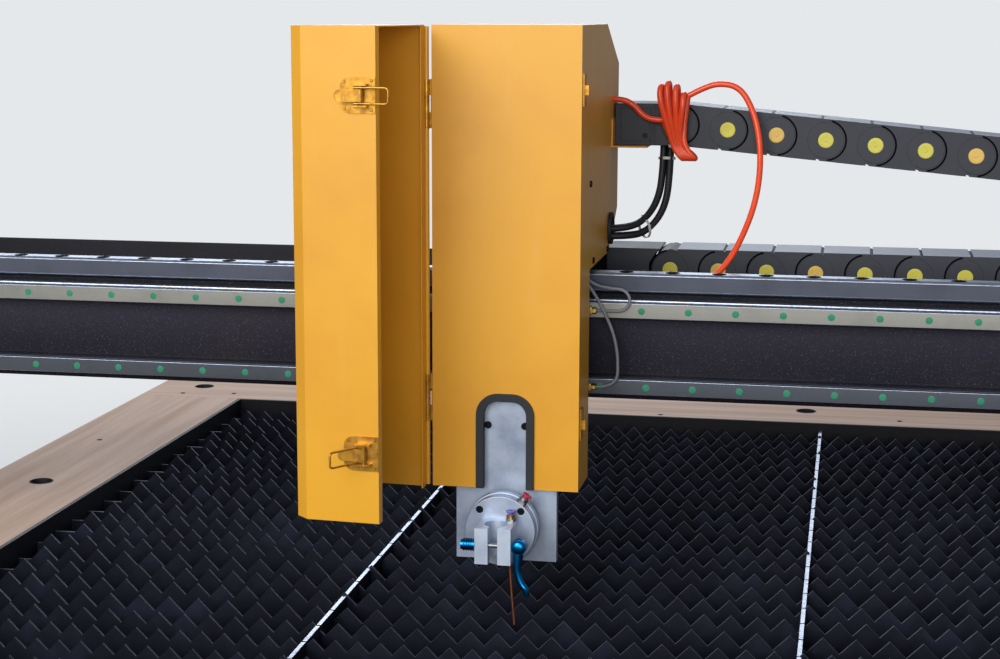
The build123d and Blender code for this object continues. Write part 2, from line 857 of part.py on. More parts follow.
with BuildPart() as housing_shell:
    prism(Plane.YZ.offset(head_left), housing_profile, housing_width)
    with BuildSketch(Plane.YZ.offset(inner_left)):
        Polygon(*housing_profile, align=None)
        offset(amount=-housing_sheet, kind=Kind.INTERSECTION, mode=Mode.REPLACE)
    extrude(amount=inner_right - inner_left, mode=Mode.SUBTRACT)
    inner_front = housing_front + housing_sheet
    open_end = housing_rear - bottom_chamfer_depth
    slab(inside, (inner_front, skirt_rear), (housing_bottom, housing_bottom + housing_sheet), Mode.SUBTRACT)
    slab(inside, (skirt_rear - housing_sheet, skirt_rear), (housing_bottom, housing_step_z), Mode.SUBTRACT)
    slab(inside, (skirt_rear - housing_sheet, open_end), (housing_step_z, housing_step_z + housing_sheet),
         Mode.SUBTRACT)
    slot_prism(slot_outline(0), housing_front, inner_front, Mode.SUBTRACT)
    rod((inner_right, grommet_y, grommet_z), (head_right, grommet_y, grommet_z), grommet_neck_radius,
        Mode.SUBTRACT)
write(housing_shell, "housing_shell")

# Rubber: seal pressed on the slot's edge and the ring in the cable hole
with BuildPart() as rubber_edgings:
    lip_ring = slot_outline(trim_lip) - slot_outline(-trim_bead)
    edge_ring = slot_outline(0) - slot_outline(-trim_bead)
    slot_prism(lip_ring, housing_front - trim_proud, housing_front)
    slot_prism(edge_ring, housing_front, inner_front)
    slot_prism(lip_ring, inner_front, inner_front + trim_proud)
    rod((head_right, grommet_y, grommet_z), (head_right + grommet_proud, grommet_y, grommet_z),
        grommet_radius)
    rod((inner_right - grommet_lip, grommet_y, grommet_z), (inner_right, grommet_y, grommet_z),
        grommet_radius)
    rod((inner_right, grommet_y, grommet_z), (head_right, grommet_y, grommet_z), grommet_neck_radius)
    rod((inner_right - grommet_lip, grommet_y, grommet_z),
        (head_right + grommet_proud, grommet_y, grommet_z), grommet_bore, Mode.SUBTRACT)
write(rubber_edgings, "rubber_edgings")


def knuckles(heights, length, radius, side):
    """Barrels round the hinge axis, each with a web towards one side of the closed cover."""
    for z in heights:
        rod((0, 0, z - length / 2), (0, 0, z + length / 2), radius)
        web = sorted((side * (radius - hinge_leaf_thickness), side * radius))
        reach = door_outer_near + (hinge_leaf_thickness if side > 0 else 0)
        slab((0, reach), web, both(length / 2, z))


def leaves(start, side):
    """Flat leaves of the hinges, drawn round the hinge axis with the cover closed."""
    for z in hinge_heights:
        near = side * (hinge_knuckle_radius + hinge_leaf_gap)
        far = side * hinge_leaf_width
        slab((start, start + hinge_leaf_thickness), sorted((near, far)), both(hinge_length / 2, z))
        web_near = side * (hinge_knuckle_radius - hinge_leaf_thickness)
        for middle in knuckle_middles(z, side):
            slab((start, start + hinge_leaf_thickness), sorted((web_near, near)),
                 both(knuckle_length / 2, middle))


def knuckle_middles(z, side):
    """Middles of one hinge's barrels: the outer two are fixed, the middle one turns."""
    return both(hinge_length / 3, z) if side > 0 else (z,)


def bore_hinges():
    """Bore for the hinge pins."""
    for z in hinge_heights:
        rod((0, 0, z - hinge_length / 2), (0, 0, z + hinge_length / 2), hinge_pin_radius + hinge_fit,
            Mode.SUBTRACT)


def place(piece, name, open_angle=0):
    """Move a piece drawn round the hinge axis to the machine, turned with the cover, and write it."""
    with BuildPart() as placed:
        with Locations(Location((hinge_x, hinge_y, 0), (0, 0, -open_angle))):
            add(piece.part)
    write(placed, name)


# Fixed hinge halves with their pins, and the latch catches on the other side
knuckle_length = hinge_length / 3 - hinge_knuckle_gap
fixed_middles = [middle for z in hinge_heights for middle in knuckle_middles(z, 1)]
with BuildPart() as housing_fittings:
    knuckles(fixed_middles, knuckle_length, hinge_knuckle_radius, 1)
    leaves(door_outer_near, 1)
    bore_hinges()
    for z in hinge_heights:
        rod((0, 0, z - hinge_length / 2), (0, 0, z + hinge_length / 2), hinge_pin_radius)
    catch_face = head_right - hinge_x
    catch_front = housing_front - hinge_y + catch_start
    for z in latch_heights:
        slab((catch_face, catch_face + catch_thickness), (catch_front, catch_front + catch_length),
             both(catch_height / 2, z))
        slab((catch_face, catch_face + catch_thickness + catch_hook_height),
             (catch_front + catch_thickness, catch_front + 2 * catch_thickness),
             both(catch_hook_width / 2, z))
place(housing_fittings, "housing_fittings")

# Cover: sheet box, open behind and below, standing open on its hinges
door_rear = -door_gap
cover_outline = [
    (door_outer_near, door_rear),
    (door_outer_near, -door_depth + door_chamfer_side),
    (door_outer_near + door_chamfer_front, -door_depth),
    (door_outer_far - door_chamfer_front, -door_depth),
    (door_outer_far, -door_depth + door_chamfer_side),
    (door_outer_far, door_rear),
]
with BuildPart() as door_shell:
    prism(Plane.XY.offset(housing_bottom), cover_outline, housing_top - housing_bottom)
    with BuildSketch(Plane.XY.offset(housing_bottom)):
        Polygon(*cover_outline, align=None)
        offset(amount=-door_sheet, kind=Kind.INTERSECTION, mode=Mode.REPLACE)
    extrude(amount=housing_top - housing_bottom - door_sheet, mode=Mode.SUBTRACT)
    slab((door_outer_near + door_lip_near, door_outer_far - door_lip_far),
         (door_rear - door_sheet, door_rear), (housing_bottom, housing_top - door_sheet), Mode.SUBTRACT)
place(door_shell, "door_shell", door_open_angle)

# Turning hinge halves and the latch plates with their cheeks and pins
latch_face = door_outer_far + latch_plate_thickness
lever_axis = (latch_face + latch_pivot_out, -latch_edge - latch_pivot_back)
bail_axis = (latch_face + bail_pivot_out, -latch_edge - bail_pivot_back)
with BuildPart() as cover_fittings:
    knuckles(hinge_heights, knuckle_length, hinge_knuckle_radius, -1)
    leaves(door_outer_near - hinge_leaf_thickness, -1)
    bore_hinges()
    for z in latch_heights:
        slab((door_outer_far, latch_face), (-latch_edge - latch_plate_length, -latch_edge),
             both(latch_plate_height / 2, z))
        cheek_rear = -latch_edge - cheek_start
        for side in (-1, 1):
            cheek = sorted((z + side * cheek_span / 2, z + side * (cheek_span / 2 - cheek_thickness)))
            slab((latch_face, latch_face + cheek_height), (cheek_rear - cheek_length, cheek_rear), cheek)
        rod((*lever_axis, z - cheek_span / 2), (*lever_axis, z + cheek_span / 2), latch_pin_radius)
place(cover_fittings, "cover_fittings", door_open_angle)

lever_outer = bail_axis[0] + lever_hub_radius
lever_inner = lever_outer - lever_sheet
lever_tip = lever_axis[1] - lever_length
tongue = [
    (lever_inner, bail_axis[1]),
    (lever_outer, bail_axis[1]),
    (lever_outer, lever_tip + 2 * lever_flick),
    (lever_outer + lever_flick, lever_tip),
    (lever_inner + lever_flick, lever_tip),
    (lever_inner, lever_tip + 2 * lever_flick),
]
for name, z in zip(("latch_lever_lower", "latch_lever_upper"), latch_heights):
    with BuildPart() as latch_lever:
        with BuildSketch(Plane.XY.offset(z - lever_width / 2)):
            with Locations(lever_axis, bail_axis):
                Circle(lever_hub_radius)
            make_hull()
            with Locations(lever_axis):
                Circle(latch_pin_radius + latch_pin_fit, mode=Mode.SUBTRACT)
            with Locations(bail_axis):
                Circle(bail_wire_radius + latch_pin_fit, mode=Mode.SUBTRACT)
        extrude(amount=lever_width)
        prism(Plane.XY.offset(z - lever_width / 2), tongue, lever_width)
        rod((*bail_axis, z - lever_width / 2), (*bail_axis, z + lever_width / 2),
            bail_wire_radius + latch_pin_fit, Mode.SUBTRACT)
    place(latch_lever, name, door_open_angle)

bail_angles = (90 - bail_folded_angle, 90)
for name, z, angle in zip(("latch_bail_lower", "latch_bail_upper"), latch_heights, bail_angles):
    end_u = bail_axis[0] + bail_reach * cos(radians(angle))
    end_v = bail_axis[1] + bail_reach * sin(radians(angle))
    reach_z = both(bail_width / 2 + bail_wire_radius, z)
    with BuildPart() as latch_bail:
        rod((*bail_axis, reach_z[0]), (*bail_axis, reach_z[1]), bail_wire_radius)
        rod((end_u, end_v, reach_z[0]), (end_u, end_v, reach_z[1]), bail_wire_radius)
        for leg_z in both(bail_width / 2, z):
            rod((*bail_axis, leg_z), (end_u, end_v, leg_z), bail_leg_radius)
    place(latch_bail, name, door_open_angle)


# Lifter: plate, carrier with its screw nut and the four blocks on the Z rails
with BuildPart() as lifter_plate:
    slab(both(lifter_width / 2, head_x), (lifter_front, lifter_rear), (lifter_bottom, lifter_top))
    for x in both(lifter_hole_spacing / 2, head_x):
        rod((x, lifter_front, lifter_hole_z), (x, lifter_rear, lifter_hole_z), lifter_hole_radius,
            Mode.SUBTRACT)
write(lifter_plate, "lifter_plate")

with BuildPart() as z_carrier:
    carrier_half = (z_rail_spacing + z_block_width) / 2
    carrier_middle = (carrier_bottom + lifter_top) / 2
    slab(both(carrier_half, head_x), (lifter_rear, z_block_face), (carrier_bottom, lifter_top))
    slab(both(nut_width / 2, head_x), (lifter_rear, lifter_rear + nut_depth),
         both(nut_height / 2, carrier_middle))
    rod((head_x, screw_y, carrier_bottom), (head_x, screw_y, lifter_top), screw_radius + screw_fit,
        Mode.SUBTRACT)
    for x in both(z_rail_spacing / 2, head_x):
        for z in z_block_heights:
            plane = Plane(origin=(x, z_plate_front, z - z_block_length / 2), x_dir=(-1, 0, 0),
                          z_dir=(0, 0, 1))
            bearing_block(plane, z_block_width, z_block_height, (z_rail_width, z_rail_height),
                          z_block_length)
write(z_carrier, "z_carrier")

# Breakaway mount: ring on a neck, and the disc that the torch clamp is screwed to
with BuildPart() as breakaway_ring:
    rod((head_x, lifter_front, mount_z), (head_x, ring_front, mount_z), neck_radius)
    rod((head_x, ring_front + ring_thickness, mount_z), (head_x, ring_front, mount_z), ring_radius)
write(breakaway_ring, "breakaway_ring")

disc_front = ring_front - disc_thickness
with BuildPart() as breakaway_disc:
    rod((head_x, ring_front, mount_z), (head_x, disc_front, mount_z), disc_radius)
    for corner in range(4):
        angle = radians(45 + 90 * corner)
        x = head_x + disc_screw_circle * cos(angle)
        z = mount_z + disc_screw_circle * sin(angle)
        rod((x, disc_front + disc_screw_depth, z), (x, disc_front, z), disc_screw_radius, Mode.SUBTRACT)
write(breakaway_disc, "breakaway_disc")

clamp_span = both(clamp_width / 2, head_x)
clamp_top = clamp_bottom + clamp_height
with BuildPart() as torch_clamp:
    slab(clamp_span, (clamp_front, disc_front), (clamp_bottom, clamp_top))
    slab(both(clamp_slit / 2, head_x), (clamp_front, torch_bore_y), (clamp_bottom, clamp_top),
         Mode.SUBTRACT)
    rod((head_x, torch_bore_y, clamp_bottom), (head_x, torch_bore_y, clamp_top), torch_bore_radius,
        Mode.SUBTRACT)
    rod((clamp_span[0], clamp_screw_y, clamp_screw_z), (clamp_span[1], clamp_screw_y, clamp_screw_z),
        clamp_screw_radius + screw_hole_fit, Mode.SUBTRACT)
write(torch_clamp, "torch_clamp")

# Clamp screw with an eye for the cam at one end and a cap nut at the other
cam_x = clamp_span[1] + cam_gap + cam_radius
washer_face = clamp_span[0] - washer_thickness


def across_cam(half, radius, mode=Mode.ADD):
    """Round bar on the cam's axis, which runs along the bed."""
    rod((cam_x, clamp_screw_y - half, clamp_screw_z), (cam_x, clamp_screw_y + half, clamp_screw_z),
        radius, mode)


with BuildPart() as clamp_screw:
    with BuildPart(mode=Mode.PRIVATE) as cap_nut:
        rod((washer_face - cap_nut_length, clamp_screw_y, clamp_screw_z),
            (washer_face, clamp_screw_y, clamp_screw_z), cap_nut_radius)
        rod((washer_face, clamp_screw_y, clamp_screw_z), (clamp_span[0], clamp_screw_y, clamp_screw_z),
            washer_radius)
        rod((washer_face - cap_nut_bore, clamp_screw_y, clamp_screw_z),
            (clamp_span[0], clamp_screw_y, clamp_screw_z), clamp_screw_radius + screw_hole_fit,
            Mode.SUBTRACT)
    rod((washer_face - cap_nut_bore + shaft_end_gap, clamp_screw_y, clamp_screw_z),
        (cam_x, clamp_screw_y, clamp_screw_z), clamp_screw_radius)
    across_cam(cam_eye_width / 2, cam_eye_radius)
    across_cam(cam_length / 2, cam_pin_radius)
    add(cap_nut.part)
write(clamp_screw, "clamp_screw")

with BuildPart() as cam_lever:
    slot_end = cam_eye_radius + cam_gap
    across_cam(cam_length / 2, cam_radius)
    rod((cam_x, clamp_screw_y, clamp_screw_z - cam_radius * lever_root), lever_end, lever_radius)
    slab((cam_x - 2 * cam_radius, cam_x + slot_end),
         both(cam_eye_width / 2 + screw_hole_fit + cam_gap / 2, clamp_screw_y),
         (clamp_screw_z - slot_end, clamp_screw_z + 2 * cam_radius), Mode.SUBTRACT)
    across_cam(cam_length / 2, cam_pin_radius + screw_hole_fit, Mode.SUBTRACT)
write(cam_lever, "cam_lever")

# Small fittings: a hose stub on the disc's rim and a nipple on the clamp
with BuildPart() as torch_fittings:
    tilt = radians(disc_fitting_angle)
    rim_y = (ring_front + disc_front) / 2
    stub = [(head_x + reach * cos(tilt), rim_y, mount_z + reach * sin(tilt))
            for reach in (disc_radius, disc_radius + fitting_height,
                          disc_radius + fitting_height + fitting_ring_height)]
    nipple = [(*clamp_fitting_place, clamp_top + reach)
              for reach in (0, fitting_height, fitting_height + fitting_ring_height)]
    for base, shoulder, end in (stub, nipple):
        rod(base, shoulder, fitting_radius)
        rod(shoulder, end, fitting_ring_radius)
write(torch_fittings, "torch_fittings")

with BuildPart() as copper_wire:
    rod(wire_start, wire_end, wire_radius)
    slab(clamp_span, (clamp_front, disc_front), (clamp_bottom, clamp_top), Mode.SUBTRACT)
write(copper_wire, "copper_wire")

# Shelf on the head for the moving end of the drag chain
with BuildPart() as chain_shelf:
    slab((head_right, head_right + shelf_sheet), (shelf_front, shelf_leg_rear),
         (shelf_top - shelf_sheet, shelf_top + shelf_leg))
    slab((head_right, head_right + shelf_reach), (shelf_front, shelf_rear),
         (shelf_top - shelf_sheet, shelf_top))
write(chain_shelf, "chain_shelf")

# Drag chain: the joints run out along the upper links, round the bend and back on the tray
half_height = chain_height / 2
cup_radius = (half_height + chain_gap) / cos(radians(link_facet / 2))
fold_angle = 90 - link_relief
horn_angle = degrees(asin(half_height / cup_radius))


def arc(middle_x, radius, angles):
    """Corners round a joint at angles from the chain's direction."""
    return [(middle_x + radius * cos(radians(a)), radius * sin(radians(a))) for a in angles]


def cup():
    """End that takes the link before it, cut away on the inside of the bend."""
    middle_corners = (1.5 * link_facet, 0.5 * link_facet, -0.5 * link_facet, -1.5 * link_facet)
    corners = arc(0, cup_radius, (horn_angle, *middle_corners, -fold_angle))
    return corners + [(half_height / tan(radians(fold_angle)), -half_height)]


def nose(middle_x):
    """Round end that sits in the next link."""
    facets = [index * link_facet - 90 for index in range(180 // link_facet + 1)]
    start = [(middle_x - half_height * tan(radians(link_relief)), -half_height)]
    return start + arc(middle_x, half_height, [-90 - link_relief] + facets)


def link(outline, inside_ends):
    """Box link from its side view; the chain's direction is X and its joint is at the origin."""
    with BuildPart() as piece:
        prism(Plane.XZ.offset(-chain_rear), outline, chain_width)
        slab(inside_ends, (chain_front + chain_wall, chain_rear - chain_wall),
             both(half_height - chain_wall), Mode.SUBTRACT)
    return piece.part


open_ends = (-chain_pitch, 2 * chain_pitch)
plain_link = link(cup() + nose(chain_pitch), open_ends)
flat_end = [(-end_link_length, half_height), (-end_link_length, -half_height)]
moving_end = link(flat_end + nose(0), (-2 * end_link_length, chain_pitch))
fixed_end = link(cup() + [(end_link_length, -half_height), (end_link_length, half_height)],
                 (-chain_pitch, 2 * end_link_length))

upper_reach = upper_links * chain_pitch
bend_drop = chain_start_z - upper_reach * sin(radians(chain_slope)) - lower_run_z
bend_middle = 90 + chain_slope / 2
bend_share = bend_drop / (chain_pitch * sin(radians(bend_middle)))
bend_step = degrees(acos((bend_share - 1) / 2))
headings = [chain_slope] * upper_links
headings += [bend_middle + step * bend_step for step in (-1, 0, 1)]
headings += [180] * lower_links
joint_x = chain_start_x
joint_z = chain_start_z
link_places = []
for heading in headings:
    link_places.append(Location((joint_x, 0, joint_z), (0, heading, 0)))
    joint_x += chain_pitch * cos(radians(heading))
    joint_z -= chain_pitch * sin(radians(heading))
bend_first = upper_links
bend_last = len(headings) - lower_links
print("chain bend from", link_places[bend_first].position, "to", link_places[bend_last].position)
print("chain fixed joint", joint_x, joint_z, "fold", bend_step, "allowed", 2 * link_relief)

with BuildPart() as chain_end:
    with Locations((chain_start_x, 0, chain_start_z)):
        add(moving_end)
    slab((cable_slot_start, cable_slot_end), (cable_slot_front, cable_slot_rear),
         (shelf_top, shelf_top + chain_wall), Mode.SUBTRACT)
write(chain_end, "chain_end")

with BuildPart() as chain_upper_run:
    with Locations(*link_places[:bend_first]):
        add(plain_link)
write(chain_upper_run, "chain_upper_run")

with BuildPart() as chain_bend:
    with Locations(*link_places[bend_first:bend_last]):
        add(plain_link)
write(chain_bend, "chain_bend")

with BuildPart() as chain_lower_run:
    with Locations(*link_places[bend_last:]):
        add(plain_link)
    with Locations(Location((joint_x, 0, joint_z), (0, 180, 0))):
        add(fixed_end)
write(chain_lower_run, "chain_lower_run")


# Brass elbows' stubs on the X blocks, where the grease lines end
block_end = head_x + (x_block_spread + block_length) / 2
grease_y = block_face_y + grease_inset
with BuildPart() as grease_fittings:
    for z in x_rail_z:
        rod((block_end, grease_y, z), (block_end + grease_stub, grease_y, z), grease_stub_radius)
write(grease_fittings, "grease_fittings")


def cord(points, radius, name):
    """Round cord along straight runs whose corners are rounded as widely as the runs allow."""
    corners = [Vector(*point) for point in points]
    bends = []
    for before, corner, after in zip(corners, corners[1:], corners[2:]):
        turn = (corner - before).get_angle(after - corner)
        shorter = min((corner - before).length, (after - corner).length)
        bends.append(bend_share_of_run * shorter / tan(radians(turn / 2)))
    with BuildPart() as piece:
        with BuildLine() as path:
            FilletPolyline(*points, radius=bends)
        with BuildSketch(Plane(origin=points[0], z_dir=path.line % 0)):
            Circle(radius)
        sweep()
    length = sum(edge.length for edge in path.edges())
    share = piece.part.volume / (pi * radius ** 2 * length)
    tightest = min(bends) / (2 * radius)
    print(name, "length", round(length), "volume share", round(share, 4), "tightest bend",
          round(tightest, 2), "diameters")
    write(piece, name)


cord(air_lead_route, air_tube_radius, "air_tube_lead")
cord(air_tail_route, air_tube_radius, "air_tube_tail")
for number, (route, side) in enumerate(
        ((inner_cable_route, -1), (inner_cable_route, 1), (outer_cable_route, -1), (outer_cable_route, 1)), 1):
    points = [(x, y + side * spread, z) for x, y, z, spread in route]
    cord(points, cable_radius, f"cable_{number}")
cord(grease_upper_route, grease_line_radius, "grease_line_upper")
cord(grease_lower_route, grease_line_radius, "grease_line_lower")

# Spare length of the air tube, tied up in loops against the chain
with BuildPart() as air_tube_hank:
    prism(Plane.XZ.offset(-(chain_front - cord_clearance)), hank_outline, hank_thickness)
    chamfer(air_tube_hank.edges().filter_by(Axis.Y, reverse=True), hank_edge)
write(air_tube_hank, "air_tube_hank")
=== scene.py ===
"""Looks of the gantry plasma cutting table: finishes, fine detail, cords, camera and light.

Metres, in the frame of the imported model: X along the gantry beam, Y along the bed, Z up from the floor.
"""
import json
import math
import random

import bmesh
import bpy
from mathutils import Matrix, Vector


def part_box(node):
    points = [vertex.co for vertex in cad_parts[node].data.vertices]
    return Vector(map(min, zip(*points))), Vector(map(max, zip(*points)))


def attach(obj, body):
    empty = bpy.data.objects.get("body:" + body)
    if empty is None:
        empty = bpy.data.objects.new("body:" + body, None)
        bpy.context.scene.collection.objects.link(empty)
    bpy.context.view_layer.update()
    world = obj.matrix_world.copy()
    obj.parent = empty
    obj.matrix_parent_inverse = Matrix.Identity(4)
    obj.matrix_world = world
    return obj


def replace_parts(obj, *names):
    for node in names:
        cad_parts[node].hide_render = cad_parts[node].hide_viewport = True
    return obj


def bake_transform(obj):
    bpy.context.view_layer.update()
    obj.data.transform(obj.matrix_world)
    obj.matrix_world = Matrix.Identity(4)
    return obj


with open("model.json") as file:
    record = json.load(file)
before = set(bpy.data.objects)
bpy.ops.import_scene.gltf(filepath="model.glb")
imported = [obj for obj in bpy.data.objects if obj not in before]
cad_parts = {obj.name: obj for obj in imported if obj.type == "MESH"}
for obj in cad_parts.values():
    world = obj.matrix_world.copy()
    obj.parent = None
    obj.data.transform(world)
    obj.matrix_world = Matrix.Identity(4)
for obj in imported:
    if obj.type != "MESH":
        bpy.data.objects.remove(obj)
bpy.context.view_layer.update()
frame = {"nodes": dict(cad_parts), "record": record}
nodes = frame["nodes"]
dice = random.Random(7)

# Camera, solved from the 60 mm pitch of the rail plugs
CAMERA_PLACE = (0.350, -1.8964, 1.5598)
CAMERA_YAW = 10.697
CAMERA_PITCH = 9.612
CAMERA_ROLL = 0.156
CAMERA_LENS = 67.415

# Places shared by several pieces
HEAD_X = -0.069
HEAD_RIGHT = 0.024
HEAD_LEFT = -0.162
BED_TOP = 0.800
RAIL_FACE_Y = 0.468
X_RAIL_HEIGHTS = (1.182, 1.082)
Y_RAIL_X = 1.140
Y_RAIL_TOP = 0.6475
PLUG_PITCH = 0.060
X_PLUG_SPAN = 19
Y_PLUG_SPAN = 31
HINGE_PIN = Vector((-0.168, 0.357, 0))
COVER_ANGLE = math.radians(-94)
LATCH_LOWER = 1.052
LATCH_UPPER = 1.467
LATCH_PIVOT = (-0.2066, 0.1567)


def srgb(red, green, blue):
    """Linear colour from a 0 to 255 colour as a screen shows it."""
    levels = (level / 255 for level in (red, green, blue))
    return tuple(x / 12.92 if x <= 0.04045 else ((x + 0.055) / 1.055) ** 2.4 for x in levels) + (1.0,)


class Wire:
    """A shader output that takes Python arithmetic and adds the Math nodes for it."""

    def __init__(self, finish, socket):
        self.finish = finish
        self.socket = socket

    def _math(self, operation, *values):
        return self.finish.node("ShaderNodeMath", {"operation": operation}, dict(enumerate(values)))

    def __add__(self, other):
        return self._math("ADD", self, other)

    def __radd__(self, other):
        return self._math("ADD", other, self)

    def __mul__(self, other):
        return self._math("MULTIPLY", self, other)

    def __gt__(self, other):
        return self._math("GREATER_THAN", self, other)

    def __abs__(self):
        return self._math("ABSOLUTE", self)

    def band(self, low, high):
        """0 below low, 1 above high, a smooth step between."""
        settings = {"interpolation_type": "SMOOTHSTEP"}
        return self.finish.node("ShaderNodeMapRange", settings, {0: self, 1: low, 2: high})


class Finish:
    """One material: a Principled shader and the nodes that vary it over the surface."""

    def __init__(self, name, colour, roughness=0.5, metallic=0.0, **fixed):
        self.material = bpy.data.materials.new(name)
        self.material.use_nodes = True
        self.tree = self.material.node_tree
        self.shader = self.tree.nodes["Principled BSDF"]
        self.place = self.node("ShaderNodeTexCoord", {}, {}, "Object")
        self.set("Base Color", colour)
        self.set("Roughness", roughness)
        self.set("Metallic", metallic)
        for socket, value in fixed.items():
            self.set(socket.replace("_", " ").title().replace("Ior", "IOR"), value)

    def node(self, kind, settings, inputs, output=0):
        """Any node, from its type, its settings and the values or links of its sockets."""
        made = self.tree.nodes.new(kind)
        for setting, value in settings.items():
            setattr(made, setting, value)
        for socket, value in inputs.items():
            if isinstance(value, Wire):
                self.tree.links.new(value.socket, made.inputs[socket])
            else:
                made.inputs[socket].default_value = value
        return Wire(self, made.outputs[output])

    def set(self, socket, value):
        """Put a value or a wire on one of the shader's sockets."""
        if isinstance(value, Wire):
            self.tree.links.new(value.socket, self.shader.inputs[socket])
        else:
            self.shader.inputs[socket].default_value = value

    def stretched(self, x, y, z):
        """The surface's place, scaled along each axis."""
        return self.node("ShaderNodeMapping", {}, {"Vector": self.place, "Scale": (x, y, z)})

    def noise(self, scale, detail=3.0, roughness=0.5, place=None):
        """Soft cloudy pattern from 0 to 1."""
        inputs = {"Vector": place or self.place, "Scale": scale, "Detail": detail, "Roughness": roughness}
        return self.node("ShaderNodeTexNoise", {}, inputs)

    def axis(self, name):
        """One coordinate of the surface's place."""
        return self.node("ShaderNodeSeparateXYZ", {}, {0: self.place}, name)

    def mix(self, share, first, second):
        """Colour between two colours."""
        return self.node("ShaderNodeMix", {"data_type": "RGBA"}, {0: share, 6: first, 7: second}, 2)

    def bump(self, height, strength=0.2, distance=0.001):
        """Relief from a height pattern."""
        inputs = {"Strength": strength, "Distance": distance, "Height": height}
        self.set("Normal", self.node("ShaderNodeBump", {}, inputs))


def painted_sheet():
    """Glossy amber paint with a faint orange peel and a few dull, dusty patches."""
    paint = Finish("amber_paint", srgb(230, 166, 38), coat_weight=0.3, coat_roughness=0.32)
    patches = paint.noise(5.0, 4.0, 0.6)
    streaks = paint.noise(3.0, 5.0, 0.65, paint.stretched(9.0, 9.0, 0.8))
    warm = paint.mix(patches.band(0.35, 0.75), srgb(233, 168, 34), srgb(224, 156, 30))
    dusty = paint.mix(streaks.band(0.55, 0.8) * 0.35, warm, srgb(236, 184, 82))
    marks = paint.noise(60.0, 6.0, 0.75).band(0.70, 0.78) * patches.band(0.5, 0.62)
    paint.set("Base Color", paint.mix(marks * 0.5, dusty, srgb(150, 96, 30)))
    paint.set("Roughness", 0.34 + streaks * 0.16 + marks * 0.2)
    peel = paint.noise(420.0, 2.0, 0.5) + paint.noise(2400.0, 1.0) * 0.35
    paint.bump(peel, 0.10, 0.0004)
    return paint.material


def black_paint():
    """Wrinkled black paint with pale specks of dust and grinding grit."""
    paint = Finish("black_paint", srgb(22, 22, 26), specular_ior_level=0.35)
    clouds = paint.noise(4.0, 4.0, 0.6)
    specks = paint.noise(700.0, 2.0, 0.7).band(0.66, 0.74)
    base = paint.mix(clouds.band(0.3, 0.8), srgb(12, 12, 19), srgb(24, 23, 33))
    paint.set("Base Color", paint.mix(specks * 0.7, base, srgb(112, 108, 140)))
    paint.set("Roughness", 0.38 + clouds * 0.22)
    paint.bump(paint.noise(900.0, 3.0, 0.6), 0.35, 0.0005)
    return paint.material


def gantry_paint():
    """Black paint of the beam with dusty clouds, darker low down by painted shade and near black in the gap
    under the rack by a painted shadow.
    """
    paint = Finish("gantry_paint", srgb(36, 35, 45), specular_ior_level=0.12)
    height = paint.axis("Z")
    clouds = paint.noise(4.0, 4.0, 0.6)
    specks = paint.noise(700.0, 2.0, 0.7).band(0.62, 0.70)
    # Painted shade: the beam's colour darkens low down
    base = paint.mix(height.band(1.09, 1.168), srgb(20, 20, 31), srgb(44, 42, 54))
    base = paint.mix(clouds.band(0.35, 0.75) * 0.35, base, srgb(50, 46, 44))
    # Painted shadow: a near-black band in the gap under the rack
    base = paint.mix(height.band(1.1940, 1.1955), base, srgb(7, 8, 14))
    paint.set("Base Color", paint.mix(specks * 0.5, base, srgb(112, 108, 140)))
    paint.set("Roughness", 0.45 + clouds * 0.2)
    paint.bump(paint.noise(900.0, 3.0, 0.6), 0.35, 0.0005)
    return paint.material


def scaled_steel():
    """Blue-black mill scale with lighter worn clouds."""
    steel = Finish("scaled_steel", srgb(20, 22, 30), metallic=0.55)
    clouds = steel.noise(9.0, 5.0, 0.6)
    fine = steel.noise(160.0, 4.0, 0.65)
    worn = steel.mix(clouds.band(0.45, 0.8), srgb(17, 20, 34), srgb(36, 42, 62))
    steel.set("Base Color", steel.mix(fine.band(0.62, 0.8) * 0.4, worn, srgb(62, 68, 88)))
    steel.set("Roughness", 0.40 + clouds * 0.2)
    steel.bump(fine, 0.12, 0.0004)
    return steel.material


def bare_edge():
    """Laser cut steel edge with fine drag lines."""
    edge = Finish("bare_cut_edge", srgb(90, 94, 104), metallic=0.6)
    drag = edge.noise(60.0, 3.0, 0.6, edge.stretched(1.0, 14.0, 1.0))
    edge.set("Base Color", edge.mix(drag.band(0.4, 0.7), srgb(50, 54, 66), srgb(104, 108, 120)))
    edge.set("Roughness", 0.5 + drag * 0.2)
    return edge.material


# The boards across both ends lie beyond this distance from the bed's middle
BOARD_TURN = 1.6


def timber():
    """Pale plywood with the grain along each board."""
    wood = Finish("plain_timber", srgb(205, 172, 150))
    across = abs(wood.axis("Y")) > BOARD_TURN
    turned = wood.node("ShaderNodeMapping", {}, {"Vector": wood.place, "Rotation": (0, 0, math.pi / 2)})
    along = wood.mix(across, wood.place, turned)
    run = wood.node("ShaderNodeMapping", {}, {"Vector": along, "Scale": (26.0, 1.1, 26.0)})
    fine = wood.node("ShaderNodeMapping", {}, {"Vector": along, "Scale": (260.0, 5.0, 260.0)})
    bands = wood.noise(1.6, 4.0, 0.55, run)
    fibres = wood.noise(2.2, 5.0, 0.7, fine)
    pale = wood.mix(bands.band(0.3, 0.75), srgb(216, 185, 162), srgb(190, 152, 126))
    lined = wood.mix(fibres.band(0.5, 0.85) * 0.45, pale, srgb(158, 118, 92))
    wood.set("Base Color", lined)
    wood.set("Roughness", 0.55 + fibres * 0.2)
    wood.bump(fibres + bands * 0.5, 0.15, 0.0005)
    return wood.material


